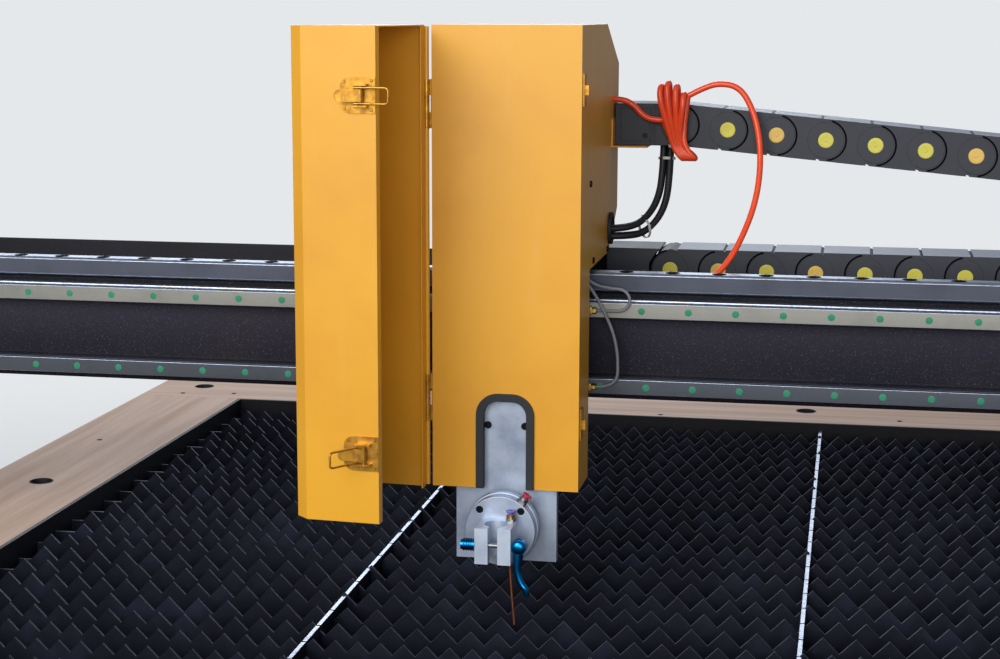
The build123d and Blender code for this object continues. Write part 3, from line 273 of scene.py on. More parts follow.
def ply_edge():
    """Sawn edge of plywood, with its layers lying flat."""
    edge = Finish("ply_edge", srgb(190, 152, 122))
    layers = edge.node("ShaderNodeMath", {"operation": "SINE"}, {0: edge.axis("Z") * 2100.0})
    saw = edge.noise(300.0, 4.0, 0.7)
    edge.set("Base Color", edge.mix(layers.band(-0.2, 0.4) * 0.8, srgb(196, 160, 130), srgb(132, 96, 72)))
    edge.set("Roughness", 0.65 + saw * 0.2)
    edge.bump(saw, 0.2, 0.0004)
    return edge.material


def ground_steel(name, tone, roughness):
    """Ground steel with fine lines along the piece."""
    steel = Finish(name, tone, metallic=0.9)
    lines = steel.noise(8.0, 4.0, 0.6, steel.stretched(1.0, 1.0, 90.0))
    clouds = steel.noise(14.0, 4.0, 0.6)
    dark = tuple(0.55 * level for level in tone[:3]) + (1.0,)
    steel.set("Base Color", steel.mix(clouds.band(0.45, 0.9) * 0.6 + lines * 0.2, tone, dark))
    steel.set("Roughness", roughness + lines * 0.15 + clouds * 0.1)
    steel.bump(lines, 0.08, 0.0002)
    return steel.material


def milled_aluminium():
    """Rolled and milled aluminium plate, with fine scratches and a few smudges."""
    plate = Finish("milled_aluminium", srgb(160, 168, 180), metallic=0.85)
    lines = plate.noise(5.0, 4.0, 0.6, plate.stretched(70.0, 4.0, 2.0))
    smudge = plate.noise(22.0, 4.0, 0.6)
    plate.set("Base Color", plate.mix(smudge.band(0.35, 0.8), srgb(186, 197, 214), srgb(146, 158, 180)))
    plate.set("Roughness", 0.36 + lines * 0.16 + smudge * 0.12)
    plate.bump(lines, 0.06, 0.0002)
    return plate.material


def blasted_aluminium():
    """Bead blasted aluminium, pale and even."""
    plate = Finish("blasted_aluminium", srgb(190, 198, 208), metallic=0.8)
    grain = plate.noise(1800.0, 2.0, 0.6)
    smudge = plate.noise(35.0, 3.0, 0.6)
    plate.set("Base Color", plate.mix(smudge.band(0.4, 0.8), srgb(212, 224, 240), srgb(182, 194, 214)))
    plate.set("Roughness", 0.42 + grain * 0.14)
    plate.bump(grain, 0.12, 0.0003)
    return plate.material


def yellow_zinc():
    """Yellow passivated zinc on small pressed hardware."""
    zinc = Finish("yellow_zinc", srgb(205, 150, 52), metallic=0.75)
    clouds = zinc.noise(120.0, 3.0, 0.6)
    zinc.set("Base Color", zinc.mix(clouds.band(0.35, 0.75), srgb(214, 160, 58), srgb(166, 112, 44)))
    zinc.set("Roughness", 0.3 + clouds * 0.18)
    zinc.bump(clouds, 0.05, 0.0002)
    return zinc.material


def moulded(name, tone, roughness=0.45, grain=0.15):
    """Moulded plastic or rubber with a fine surface grain."""
    plastic = Finish(name, tone)
    fine = plastic.noise(1500.0, 2.0, 0.6)
    dust = plastic.noise(30.0, 4.0, 0.65)
    pale = tuple(min(1.0, 1.35 * level + 0.01) for level in tone[:3]) + (1.0,)
    plastic.set("Base Color", plastic.mix(dust.band(0.45, 0.85) * 0.6, tone, pale))
    plastic.set("Roughness", roughness + dust * 0.15)
    plastic.bump(fine, grain, 0.0003)
    return plastic.material


def turned_metal(name, tone, roughness=0.25):
    """Bright turned metal with slight tarnish."""
    metal = Finish(name, tone, metallic=1.0)
    tarnish = metal.noise(160.0, 3.0, 0.6)
    dark = tuple(0.6 * level for level in tone[:3]) + (1.0,)
    metal.set("Base Color", metal.mix(tarnish.band(0.4, 0.85), tone, dark))
    metal.set("Roughness", roughness + tarnish * 0.18)
    return metal.material


finishes = {
    "cover_paint": painted_sheet(),
    "dark_paint": black_paint(),
    "slat_steel": scaled_steel(),
    "timber": timber(),
    "rail_steel": ground_steel("ground_rail", srgb(150, 149, 142), 0.34),
    "rack_steel": ground_steel("machined_rack", srgb(88, 92, 104), 0.45),
    "block_steel": ground_steel("ground_block", srgb(150, 152, 156), 0.28),
    "plate_aluminium": milled_aluminium(),
    "clamp_aluminium": blasted_aluminium(),
    "motor_black": moulded("motor_black", srgb(20, 20, 22), 0.4),
    "fitting_zinc": yellow_zinc(),
    "edging_rubber": moulded("edging_rubber", srgb(31, 33, 39), 0.55),
    "chain_plastic": moulded("chain_plastic", srgb(38, 41, 50), 0.48),
    "cam_plastic": turned_metal("blue_anodised", srgb(20, 128, 190), 0.22),
    "stub_brass": turned_metal("turned_brass", srgb(206, 168, 92)),
    "wire_copper": turned_metal("bare_copper", srgb(196, 122, 84), 0.3),
    "air_tube": moulded("orange_tube", srgb(240, 78, 38), 0.22, 0.02),
    "cable_black": moulded("cable_black", srgb(26, 27, 30), 0.5),
    "grease_line": moulded("grease_line_grey", srgb(120, 124, 130), 0.35, 0.05),
}
cut_edge = bare_edge()
sawn_edge = ply_edge()
# Bright steel for the top faces of the dividers: a painted highlight
divider_top_highlight = turned_metal("divider_top", srgb(196, 202, 216), 0.35)
# Bright steel for the eased edges and top faces of the rails and the rack (a painted highlight, with real
# wear on the rack), and for the beam's machined pad
bright_edge = turned_metal("bright_edge", srgb(168, 176, 192), 0.3)
# Darker steel for the lower rail's front: a painted reflection of the dark slats below it
rail_painted_reflection = ground_steel("rail_painted_reflection", srgb(88, 92, 100), 0.3)
# Pale colour for the top bar of each link: a painted highlight along the chain's top
chain_top_highlight = moulded("chain_top_highlight", srgb(150, 156, 170), 0.4)
# Matt near-black laid where there is only shade: painted shade in the rack's counterbored holes and a
# painted shadow in the chain's grooves
painted_shade_black = Finish("painted_shade_black", srgb(9, 9, 11), 0.9, specular_ior_level=0.05).material
plug_green = moulded("plug_green", srgb(26, 130, 94), 0.4)
beam_paint = gantry_paint()
cap_yellow = moulded("cap_yellow", srgb(205, 195, 72), 0.35)
cap_amber = moulded("cap_amber", srgb(215, 176, 82), 0.35)
black_screw = turned_metal("black_oxide", srgb(40, 40, 44), 0.35)
bright_screw = turned_metal("bright_zinc", srgb(176, 178, 180), 0.28)
red_ring = moulded("red_ring", srgb(186, 44, 92), 0.3, 0.02)
violet_ring = moulded("violet_ring", srgb(96, 92, 186), 0.3, 0.02)
nylon_tie = moulded("nylon_tie", srgb(200, 200, 196), 0.35, 0.02)

node_slots = {entry["node"]: entry["material_slot"] for entry in frame["record"]["subparts"]}
node_body = {node: body for body, names in frame["record"]["behaviour"]["bodies"].items() for node in names}
for node, place in nodes.items():
    place.data.materials.clear()
    place.data.materials.append(finishes[node_slots[node]])


def placed(name, data):
    """New object of the scene for some data."""
    made = bpy.data.objects.new(name, data)
    bpy.context.collection.objects.link(made)
    return made


def piece(name, bm, body, slot, *materials):
    """Turn a bmesh into an object that rides on a body."""
    mesh = bpy.data.meshes.new(name)
    bm.to_mesh(mesh)
    bm.free()
    made = placed(name, mesh)
    for material in materials or (finishes[slot],):
        mesh.materials.append(material)
    if body:
        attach(made, body)
    return made


def shade(made, angle=30):
    """Smooth faces, with edges sharper than the angle kept crisp."""
    made.data.shade_smooth()
    made.data.set_sharp_from_angle(angle=math.radians(angle))
    weighted = made.modifiers.new("flat_faces_first", "WEIGHTED_NORMAL")
    weighted.keep_sharp = True
    return made


WELD_GAP = 5e-6
FLAT_TURN = math.radians(0.5)


def merged_mesh(node):
    """Mesh of a CAD node with its triangles merged into flat faces."""
    bm = bmesh.new()
    bm.from_mesh(nodes[node].data)
    bmesh.ops.remove_doubles(bm, verts=bm.verts, dist=WELD_GAP)
    bmesh.ops.dissolve_limit(bm, angle_limit=FLAT_TURN, verts=bm.verts, edges=bm.edges)
    return bm


def ease_edges(bm, ease, segments, limit, material=-1):
    """Bevel each edge whose two faces turn by more than a limit."""
    sharp = [edge for edge in bm.edges if len(edge.link_faces) == 2 and edge.calc_face_angle() > limit]
    bmesh.ops.bevel(bm, geom=sharp, offset=ease, segments=segments, profile=0.5, affect="EDGES",
                    material=material, clamp_overlap=True)


def eased_copy(node, ease, segments=2, angle=28, rides=True, materials=(), worn=None, rounded=None):
    """Copy of a CAD node with its sharp edges eased, shown in its place.

    Eased edges take the worn material, a painted highlight that on the rack stands for real wear as well;
    rounded is a test for edges, their radius and its steps.
    """
    bm = merged_mesh(node)
    edge_material = 1 if worn else -1
    if rounded:
        picked, radius, steps = rounded
        bmesh.ops.bevel(bm, geom=[edge for edge in bm.edges if picked(edge)], offset=radius, segments=steps,
                        profile=0.5, affect="EDGES", material=edge_material)
    ease_edges(bm, ease, segments, math.radians(angle), edge_material)
    if worn:
        materials = (finishes[node_slots[node]], worn)
    made = piece(f"{node}_shown", bm, node_body[node] if rides else None, node_slots[node], *materials)
    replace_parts(made, node)
    return shade(made)


def recolour(made, index, low, high, direction=None):
    """Give the faces whose middles lie in a box, and that face one way, another of the materials."""
    for face in made.data.polygons:
        inside = all(a <= x <= b for a, x, b in zip(low, face.center, high))
        if inside and (direction is None or face.normal.dot(Vector(direction)) > 0.7):
            face.material_index = index


def turned(bm, profile, place, axis, steps=24, material=0):
    """Lathe a profile of (radius, height) round an axis that starts at a place."""
    before = set(bm.faces)
    rings = [bm.verts.new((radius, 0, height)) for radius, height in profile]
    edges = [bm.edges.new(pair) for pair in zip(rings, rings[1:])]
    bmesh.ops.spin(bm, geom=rings + edges, cent=(0, 0, 0), axis=(0, 0, 1), angle=2 * math.pi,
                   steps=steps, use_merge=True)
    made = [face for face in bm.faces if face not in before]
    verts = list({vert for face in made for vert in face.verts})
    bmesh.ops.remove_doubles(bm, verts=verts, dist=1e-6)
    made = [face for face in bm.faces if face not in before]
    verts = list({vert for face in made for vert in face.verts})
    turn = Vector((0, 0, 1)).rotation_difference(Vector(axis)).to_matrix().to_4x4()
    bmesh.ops.transform(bm, matrix=Matrix.Translation(place) @ turn, verts=verts)
    bmesh.ops.recalc_face_normals(bm, faces=made)
    for face in made:
        face.material_index = material


def block(bm, low, high, ease):
    """Box between two corners with eased edges."""
    size = [b - a for a, b in zip(low, high)]
    middle = [(a + b) / 2 for a, b in zip(low, high)]
    place = Matrix.Translation(middle) @ Matrix.Diagonal((*size, 1.0))
    made = bmesh.ops.create_cube(bm, size=1.0, matrix=place)["verts"]
    edges = {edge for vert in made for edge in vert.link_edges}
    bmesh.ops.bevel(bm, geom=list(edges), offset=ease, segments=2, profile=0.5, affect="EDGES", material=-1)


def plate(bm, outline, depth, material=0):
    """Flat outline, as points in space, pushed along a depth vector."""
    verts = [bm.verts.new(point) for point in outline]
    face = bm.faces.new(verts)
    made = bmesh.ops.extrude_face_region(bm, geom=[face])["geom"]
    moved = [item for item in made if isinstance(item, bmesh.types.BMVert)]
    bmesh.ops.translate(bm, verts=moved, vec=depth)
    faces = {item for vert in verts + moved for item in vert.link_faces}
    bmesh.ops.recalc_face_normals(bm, faces=list(faces))
    for item in faces:
        item.material_index = material


def round_curve(name, points, radius, sides, steps, body, slot):
    """Smooth round curve through control points that each give a share of the radius as well."""
    curve = bpy.data.curves.new(name, "CURVE")
    curve.dimensions = "3D"
    curve.bevel_depth = radius
    curve.bevel_resolution = sides
    curve.resolution_u = steps
    curve.use_fill_caps = True
    spline = curve.splines.new("NURBS")
    spline.points.add(len(points) - 1)
    for control, (x, y, z, share) in zip(spline.points, points):
        control.co = (x, y, z, 1.0)
        control.radius = share
    spline.order_u = 3
    spline.use_endpoint_u = True
    curve.materials.append(finishes[slot])
    made = placed(name, curve)
    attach(made, body)
    return made


def cord(name, node, points, diameter, slot, length):
    """Round cord on the carriage through its route's control points, in the place of its CAD node."""
    made = round_curve(name, [(*point, 1.0) for point in points], diameter / 2, 5, 10, "carriage", slot)
    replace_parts(made, node)


# Camera
camera_data = bpy.data.cameras.new("camera")
camera_data.lens = CAMERA_LENS
camera_data.sensor_width = 36.0
camera_data.clip_end = 60.0
camera = placed("camera", camera_data)
camera.matrix_world = (
    Matrix.Translation(CAMERA_PLACE)
    @ Matrix.Rotation(math.radians(CAMERA_YAW), 4, "Z")
    @ Matrix.Rotation(math.radians(90 - CAMERA_PITCH), 4, "X")
    @ Matrix.Rotation(math.radians(CAMERA_ROLL), 4, "Z")
)
bpy.context.scene.camera = camera

# Cords
AIR_LEAD = (
    (0.024, 0.6527, 1.444), (0.040, 0.6527, 1.444), (0.054, 0.6527, 1.435),
    (0.064, 0.6527, 1.4237), (0.077, 0.6527, 1.4162), (0.093, 0.6527, 1.4162),
)
AIR_TAIL = (
    (0.126, 0.6527, 1.449), (0.1435, 0.6527, 1.4587), (0.167, 0.6515, 1.467), (0.196, 0.650, 1.462),
    (0.215, 0.647, 1.430), (0.225, 0.638, 1.390), (0.227, 0.620, 1.347), (0.221, 0.600, 1.305),
    (0.206, 0.577, 1.264), (0.189, 0.557, 1.233), (0.166, 0.545, 1.212), (0.142, 0.540, 1.2063),
)
# X, Y and Z of the middle of a pair of cables, and half the distance between the two
INNER_CABLES = (
    (0.091, 0.690, 1.390, 0.0048), (0.0907, 0.688, 1.346, 0.0052), (0.086, 0.675, 1.305, 0.0063),
    (0.068, 0.653, 1.277, 0.0069), (0.043, 0.632, 1.2695, 0.006), (0.017, 0.630, 1.2692, 0.005),
)
OUTER_CABLES = (
    (0.1006, 0.690, 1.390, 0.0048), (0.1003, 0.688, 1.340, 0.0052), (0.095, 0.675, 1.292, 0.0063),
    (0.072, 0.654, 1.262, 0.0069), (0.043, 0.632, 1.2592, 0.006), (0.017, 0.630, 1.2594, 0.005),
)
GREASE_UPPER = (
    (0.012, 0.464, 1.244), (0.012, 0.4641, 1.230), (0.025, 0.464, 1.216), (0.046, 0.464, 1.2113),
    (0.0671, 0.464, 1.2103), (0.0752, 0.464, 1.1963), (0.0671, 0.464, 1.1823),
    (0.049, 0.4641, 1.1818), (0.031, 0.464, 1.182),
)
GREASE_LOWER = (
    (0.012, 0.458, 1.244), (0.012, 0.4581, 1.226), (0.028, 0.458, 1.206), (0.040, 0.458, 1.184),
    (0.054, 0.458, 1.154), (0.060, 0.460, 1.120), (0.058, 0.463, 1.083), (0.031, 0.464, 1.082),
)
AIR_DIAMETER = 0.008
CABLE_DIAMETER = 0.009
GREASE_DIAMETER = 0.004
cord("air_lead", "air_tube_lead", AIR_LEAD, AIR_DIAMETER, "air_tube", 0.078)
cord("air_tail", "air_tube_tail", AIR_TAIL, AIR_DIAMETER, "air_tube", 0.392)
for number, (route, side, length) in enumerate(
        ((INNER_CABLES, -1, 0.184), (INNER_CABLES, 1, 0.184), (OUTER_CABLES, -1, 0.203),
         (OUTER_CABLES, 1, 0.203)), 1):
    points = [(x, y + side * spread, z) for x, y, z, spread in route]
    cord(f"head_cable_{number}", f"cable_{number}", points, CABLE_DIAMETER, "cable_black", length)
cord("grease_upper", "grease_line_upper", GREASE_UPPER, GREASE_DIAMETER, "grease_line", 0.139)
cord("grease_lower", "grease_line_lower", GREASE_LOWER, GREASE_DIAMETER, "grease_line", 0.195)

# Spare length of the air tube: narrow loops that rise from a tie, with their lower ends spread to the right
HANK_TOPS = (0.0895, 0.0990, 0.1105, 0.1205)
HANK_HEIGHTS = (1.4585, 1.4630, 1.4585, 1.4480)
HANK_TIE = (0.1115, 1.381)


def hank_foot(x):
    """Fold at the lower end of two strands, turned a little to the right."""
    return [(x + 0.004, 0.6610, 1.3715), (x + 0.010, 0.6595, 1.3650),
            (x + 0.010, 0.6460, 1.3650), (x + 0.004, 0.6445, 1.3715)]


hank_points = [AIR_LEAD[-1], (0.0995, 0.6560, 1.4010), (0.1065, 0.6585, 1.3850)]
for turn, top_x in enumerate(HANK_TOPS):
    tie_x = HANK_TIE[0] + 0.0022 * (turn - 1.5)
    top_z = HANK_HEIGHTS[turn]
    side_x = tie_x + 0.7 * (top_x - tie_x)
    hank_points += hank_foot(0.1110 + 0.0040 * turn) + [
        (tie_x, 0.6475, HANK_TIE[1]),
        (side_x, 0.6370, 1.425),
        (top_x, 0.6345, top_z - 0.012),
        (top_x + 0.0005, 0.6375, top_z + 0.0035),
        (top_x + 0.0015, 0.6560, top_z + 0.0035),
        (top_x + 0.0020, 0.6590, top_z - 0.012),
        (side_x + 0.0020, 0.6585, 1.425),
        (tie_x + 0.001, 0.6580, HANK_TIE[1]),
    ]
hank_points += hank_foot(0.1270)
hank_points += [(0.1215, 0.6470, 1.3860), (0.1215, 0.6505, 1.4090), (0.1238, 0.6527, 1.4310), AIR_TAIL[0]]


def route_length(points):
    """Length of a second-degree curve through control points, from its straight runs' middles."""
    middles = [Vector(points[0])]
    middles += [(Vector(a) + Vector(b)) / 2 for a, b in zip(points[1:], points[2:-1])]
    middles.append(Vector(points[-1]))
    total = 0.0
    for start, corner, end in zip(middles, points[1:-1], middles[1:]):
        spots = [start.lerp(Vector(corner), s).lerp(Vector(corner).lerp(end, s), s)
                 for s in (step / 16 for step in range(17))]
        total += sum((b - a).length for a, b in zip(spots, spots[1:]))
    return total


cord("air_hank", "air_tube_hank", hank_points, AIR_DIAMETER, "air_tube",
     round(route_length(hank_points), 3))


TIE_THICKNESS = 0.0009
TIE_BREADTH = 0.0036
TIE_STEPS = 28


def band(bm, middle, direction, half_width, half_height):
    """Flat strap closed round a bundle; its oval lies square to a direction."""
    ahead = Vector(direction).normalized()
    across = ahead.cross(Vector((0, 0, 1))).normalized()
    upward = across.cross(ahead)
    rings = []
    for step in range(TIE_STEPS):
        angle = 2 * math.pi * step / TIE_STEPS
        spoke = across * math.cos(angle) * half_width + upward * math.sin(angle) * half_height
        outward = spoke.normalized() * TIE_THICKNESS
        far = ahead * TIE_BREADTH
        ring = [spoke, spoke + outward, spoke + outward + far, spoke + far]
        rings.append([bm.verts.new(Vector(middle) + corner - far / 2) for corner in ring])
    for ring, following in zip(rings, rings[1:] + rings[:1]):
        for corner in range(4):
            after = (corner + 1) % 4
            bm.faces.new((ring[corner], ring[after], following[after], following[corner]))
    bmesh.ops.recalc_face_normals(bm, faces=bm.faces)


bm = bmesh.new()
band(bm, (0.1115, 0.6527, 1.3815), (0.02, 0, 1), 0.0078, 0.0100)
block(bm, (0.1175, 0.6465, 1.3785), (0.1225, 0.6525, 1.3845), 0.0006)
band(bm, (0.0700, 0.6535, 1.2690), (-0.75, -0.62, -0.2), 0.0125, 0.0135)
block(bm, (0.0655, 0.6500, 1.2820), (0.0715, 0.6560, 1.2870), 0.0006)
band(bm, (0.0955, 0.6890, 1.3620), (0.0, -0.1, -1), 0.0110, 0.0105)
shade(piece("nylon_ties", bm, "carriage", "cable_black", nylon_tie))

# Bed: serrated slats, notched from below over the dividers
SLAT_COUNT = 49
SLAT_PITCH = 0.064
SLAT_END = 0.833
SLAT_TIP = 0.790
SLAT_FOOT = 0.690
SLAT_THICKNESS = 0.004
FIRST_SLAT_IN_VIEW = 28
TOOTH_PITCHES = (0.029, 0.0345, 0.041, 0.0345, 0.0345, 0.041, 0.029, 0.029, 0.029, 0.0345,
                 0.0345, 0.0345, 0.029, 0.029, 0.0345, 0.029, 0.029, 0.032, 0.029)
DIVIDER_X = 0.304
NOTCH_HALF = 0.0033
NOTCH_TOP = 0.740
TOOTH_MARGIN = 0.004
TEETH_FROM = 0.765


def slat(bm, y, pitch, phase):
    """One slat with square teeth as deep as half their pitch."""
    deep = pitch / 2
    low = SLAT_TIP - deep
    outline = [(-SLAT_END, SLAT_FOOT)]
    for x in (-DIVIDER_X, DIVIDER_X):
        left, right = x - NOTCH_HALF, x + NOTCH_HALF
        outline += [(left, SLAT_FOOT), (left, NOTCH_TOP), (right, NOTCH_TOP), (right, SLAT_FOOT)]
    outline += [(SLAT_END, SLAT_FOOT), (SLAT_END, low)]
    root = SLAT_END - TOOTH_MARGIN - phase * pitch
    outline.append((root, low))
    while root - pitch > -SLAT_END + TOOTH_MARGIN:
        outline += [(root - deep, SLAT_TIP), (root - pitch, low)]
        root -= pitch
    outline.append((-SLAT_END, low))
    near = y - SLAT_THICKNESS / 2
    plate(bm, [(x, near, z) for x, z in outline], (0, SLAT_THICKNESS, 0))


bm = bmesh.new()
for index in range(SLAT_COUNT):
    y = (index - (SLAT_COUNT - 1) / 2) * SLAT_PITCH
    pitch = TOOTH_PITCHES[(index - FIRST_SLAT_IN_VIEW) % len(TOOTH_PITCHES)]
    slat(bm, y, pitch, dice.random())
slats = piece("serrated_slats", bm, "bed", "slat_steel", finishes["slat_steel"], cut_edge)
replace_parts(slats, "slats")
for face in slats.data.polygons:
    face.material_index = 1 if abs(face.normal.y) < 0.5 and face.center.z > TEETH_FROM else 0

# Painted highlight: the dividers' top faces take the bright steel
dividers = eased_copy("slat_dividers", 0.0004, segments=1, materials=(finishes["slat_steel"], divider_top_highlight))
recolour(dividers, 1, (-1, -2, 0.7855), (1, 2, 0.79), (0, 0, 1))

# Boards, with eased edges, a black ring in each hole and countersunk screws
boards = eased_copy("boards", 0.0012, materials=(finishes["timber"], sawn_edge))
for face in boards.data.polygons:
    face.material_index = 1 if abs(face.normal.z) < 0.4 else 0
BOARD_HOLES = [(x, y) for x in (-0.9425, 0.9425) for y in (-0.898, 0.898)]
BOARD_HOLES += [(side * x, y) for x in (0.274, 0.948) for side in (-1, 1) for y in (-1.7025, 1.7025)]
bm = bmesh.new()
for x, y in BOARD_HOLES:
    turned(bm, [(0.0194, 0), (0.0194, 0.0184), (0.0186, 0.0188), (0.0176, 0.0184), (0.0176, 0)],
           (x, y, BED_TOP - 0.018), (0, 0, 1), 32)
shade(piece("board_hole_rings", bm, "bed", "edging_rubber"))

bm = bmesh.new()
BOARD_SCREWS = [(x, side * 1.628) for x in (-0.967, 0.967) for side in (-1, 1)]
BOARD_SCREWS += [(x, side * 1.644) for x in (-0.865, -0.45, 0.45, 0.865) for side in (-1, 1)]
BOARD_SCREWS += [(0.001, side * 1.612) for side in (-1, 1)]
BOARD_SCREWS += [(side * 0.967, y) for side in (-1, 1) for y in (-1.2, -0.6, 0, 0.6, 1.2)]
for x, y in BOARD_SCREWS:
    turned(bm, [(0, 0.0002), (0.0022, 0.0002), (0.0024, 0.0006), (0.0046, 0.0007), (0.005, 0.0001)],
           (x, y, BED_TOP), (0, 0, 1), 14)
shade(piece("board_screws", bm, "bed", "rack_steel", black_screw))


def socket_screw(bm, place, axis, radius, height):
    """Cap screw with a recessed socket."""
    turned(bm, [(0, 0.35 * height), (0.5 * radius, 0.35 * height), (0.52 * radius, height),
                (0.88 * radius, height), (radius, 0.85 * height), (radius, 0)],
           place, axis, 16)


RACK_PITCH = math.pi * 0.002
RACK_TOOTH = 0.0045


def rack_teeth(name, node, body, start, outward, length):
    """Teeth along a rack: they run from a start, grow outwards and stand as high as the rack."""
    bm = bmesh.new()
    low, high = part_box(node)
    along = Vector((1, 0, 0)) if abs(outward[1]) else Vector((0, 1, 0))
    outward = Vector(outward)
    up = Vector((0, 0, high[2] - low[2] - 0.0008))
    for tooth in range(int(length / RACK_PITCH)):
        middle = Vector(start) + along * (tooth + 0.5) * RACK_PITCH
        wide, narrow = along * RACK_PITCH * 0.36, along * RACK_PITCH * 0.14
        tip = outward * RACK_TOOTH
        plate(bm, [middle - wide, middle - narrow + tip, middle + narrow + tip, middle + wide], up)
    return piece(name, bm, body, "rack_steel")


def rack_front(edge):
    """Long edges along the front of the beam's rack."""
    return edge.calc_length() > 1 and all(vert.co.y < 0.491 for vert in edge.verts)


# Racks: teeth on the hidden side, and flat black discs of painted shade over the counterbored screws along
# the top of the beam's rack
# The rack's rounded front edge, eased edges and top face take the bright edge steel: real wear with a
# painted highlight
x_rack = eased_copy("x_rack", 0.0006, worn=bright_edge, rounded=(rack_front, 0.0028, 1))
recolour(x_rack, 1, (-2, 0, 1.2279), (2, 1, 1.2281), (0, 0, 1))
low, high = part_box("x_rack")
rack_teeth("x_rack_teeth", "x_rack", "gantry", (low[0], high[1] - 0.0002, low[2] + 0.0004), (0, 1, 0),
           high[0] - low[0])
RACK_SCREW_START = 0.004
# Painted shade: flat black discs over the counterbored screws along the rack's top
bm = bmesh.new()
for step in range(-X_PLUG_SPAN, X_PLUG_SPAN + 1):
    x = RACK_SCREW_START + step * PLUG_PITCH
    if low[0] + 0.01 < x < high[0] - 0.01:
        turned(bm, [(0, 0.0003), (0.0092, 0.0003), (0.0096, 0.0001)], (x, 0.5025, high[2]), (0, 0, 1), 24)
shade(piece("x_rack_counterbore_shade", bm, "gantry", "rack_steel", painted_shade_black))

eased_copy("y_racks", 0.0008)
low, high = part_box("y_racks")
for side in (-1, 1):
    rack_teeth(f"y_rack_teeth_{'left' if side < 0 else 'right'}", "y_racks", "bed",
               (side * (high[0] - 0.0002), low[1], low[2] + 0.0004), (side, 0, 0), high[1] - low[1])


def rail_plugs(name, body, places, axis):
    """Green plugs pressed into a rail's screw holes."""
    bm = bmesh.new()
    for place in places:
        turned(bm, [(0, 0.0003), (0.0040, 0.0003), (0.0046, 0.0001), (0.0046, -0.001)], place, axis, 16)
    return shade(piece(name, bm, body, "chain_plastic", plug_green))


# Painted highlight: the x rails' eased edges and the upper rail's top face take the bright edge steel
x_rails = eased_copy("x_rails", 0.0009, angle=20, worn=bright_edge)
x_rails.data.materials.append(rail_painted_reflection)
# Lower rail: its front takes the darker steel, a painted reflection of the dark slats, and its other faces
# take the bright edge steel, a painted highlight
for face in x_rails.data.polygons:
    if face.center.z < 1.12 and face.material_index == 0:
        face.material_index = 2 if face.normal.y < -0.95 else 1
recolour(x_rails, 1, (-2, 0, 1.19), (2, 1, 1.20), (0, 0, 1))
X_PLUG_STARTS = dict(zip(X_RAIL_HEIGHTS, (0.028, 0.035)))
rail_plugs("x_rail_plugs", "gantry",
           [(start + step * PLUG_PITCH, RAIL_FACE_Y, z) for z, start in X_PLUG_STARTS.items()
            for step in range(-X_PLUG_SPAN, X_PLUG_SPAN)], (0, -1, 0))
# Painted highlight: the bright edge steel on the y rails' eased edges
eased_copy("y_rails", 0.0009, angle=20, worn=bright_edge)
rail_plugs("y_rail_plugs", "bed",
           [(side * Y_RAIL_X, step * PLUG_PITCH, Y_RAIL_TOP) for side in (-1, 1)
            for step in range(-Y_PLUG_SPAN, Y_PLUG_SPAN + 1)], (0, 0, 1))

# Softened copies of the machined, welded and folded pieces
EASED = {
    "bed_frame": 0.004, "bed_tub": 0.0012, "uprights": 0.0015, "chain_tray": 0.0006,
    "y_end_stops": 0.0015, "x_end_stops": 0.0015, "y_bearing_blocks": 0.0012, "x_bearing_blocks": 0.0012,
    "y_motors": 0.002, "x_motor": 0.002, "z_motor": 0.0015, "z_rails": 0.0008, "carriage_plates": 0.001,
    "z_back_plate": 0.001, "z_carrier": 0.001, "lifter_plate": 0.0009, "breakaway_ring": 0.0014,
    "breakaway_disc": 0.0014, "torch_clamp": 0.0007, "chain_shelf": 0.0005, "chain_end": 0.001,
    "rubber_edgings": 0.0014, "housing_fittings": 0.0003, "leveling_feet": 0.001, "y_pinion_left": 0.0004,
    "y_pinion_right": 0.0004, "x_pinion": 0.0004, "grease_fittings": 0.0005,
}
for node, ease in EASED.items():
    eased_copy(node, ease)

# Beam, with the machined pad behind its upper rail left bright
beam = eased_copy("gantry_beam", 0.004, materials=(beam_paint, bright_edge))
recolour(beam, 1, (-2, 0.4850, 1.160), (2, 0.4900, 1.196))


def latch_plate_end(edge):
    """Short edges at the two rear corners of each latch plate."""
    return edge.calc_length() < 0.0017 and all(vert.co.x < -0.2225 for vert in edge.verts)


def lever_tip(edge):
    """Short edges at the free end of a latch lever."""
    return edge.calc_length() < 0.0018 and all(vert.co.x < -0.2275 for vert in edge.verts)


eased_copy("cover_fittings", 0.0003, rounded=(latch_plate_end, 0.012, 7))
for node in ("latch_lever_upper", "latch_lever_lower"):
    eased_copy(node, 0.0003, rounded=(lever_tip, 0.0062, 6))
clamp_screw = eased_copy("clamp_screw", 0.0006, materials=(finishes["block_steel"], finishes["cam_plastic"]))
recolour(clamp_screw, 1, (-0.2, 0.2, 0.8), (-0.0916, 0.4, 1.0))
eased_copy("housing_shell", 0.0009, segments=3)
eased_copy("door_shell", 0.0009, segments=3)


# Drag chain: eased links, with a round boss, a painted shadow in the groove beside it and a coloured cap at
# each joint
CHAIN_PITCH = 0.066
CHAIN_START = (0.114, 1.4095)
CHAIN_SIDES = (0.663, 0.743)
LINK_REACH = (-0.006, 0.056)
LINK_HALF = 0.0283
GROOVE_RADII = (0.0256, 0.0280)
# Materials of the caps in turn, by their place in chain_materials
CAP_ORDER = (2, 3, 2, 2, 2, 3)
UPPER_HEADINGS = [5.2] * 8
BEND_HEADINGS = [42.687, 92.6, 142.513]
LOWER_HEADINGS = [180.0] * 8


def follow(start, headings):
    """Joints of links laid end to end, and the place where the last one ends."""
    joints = []
    x, z = start
    for heading in headings:
        joints.append((x, z, math.radians(heading)))
        x += CHAIN_PITCH * math.cos(joints[-1][2])
        z -= CHAIN_PITCH * math.sin(joints[-1][2])
    return joints, (x, z)


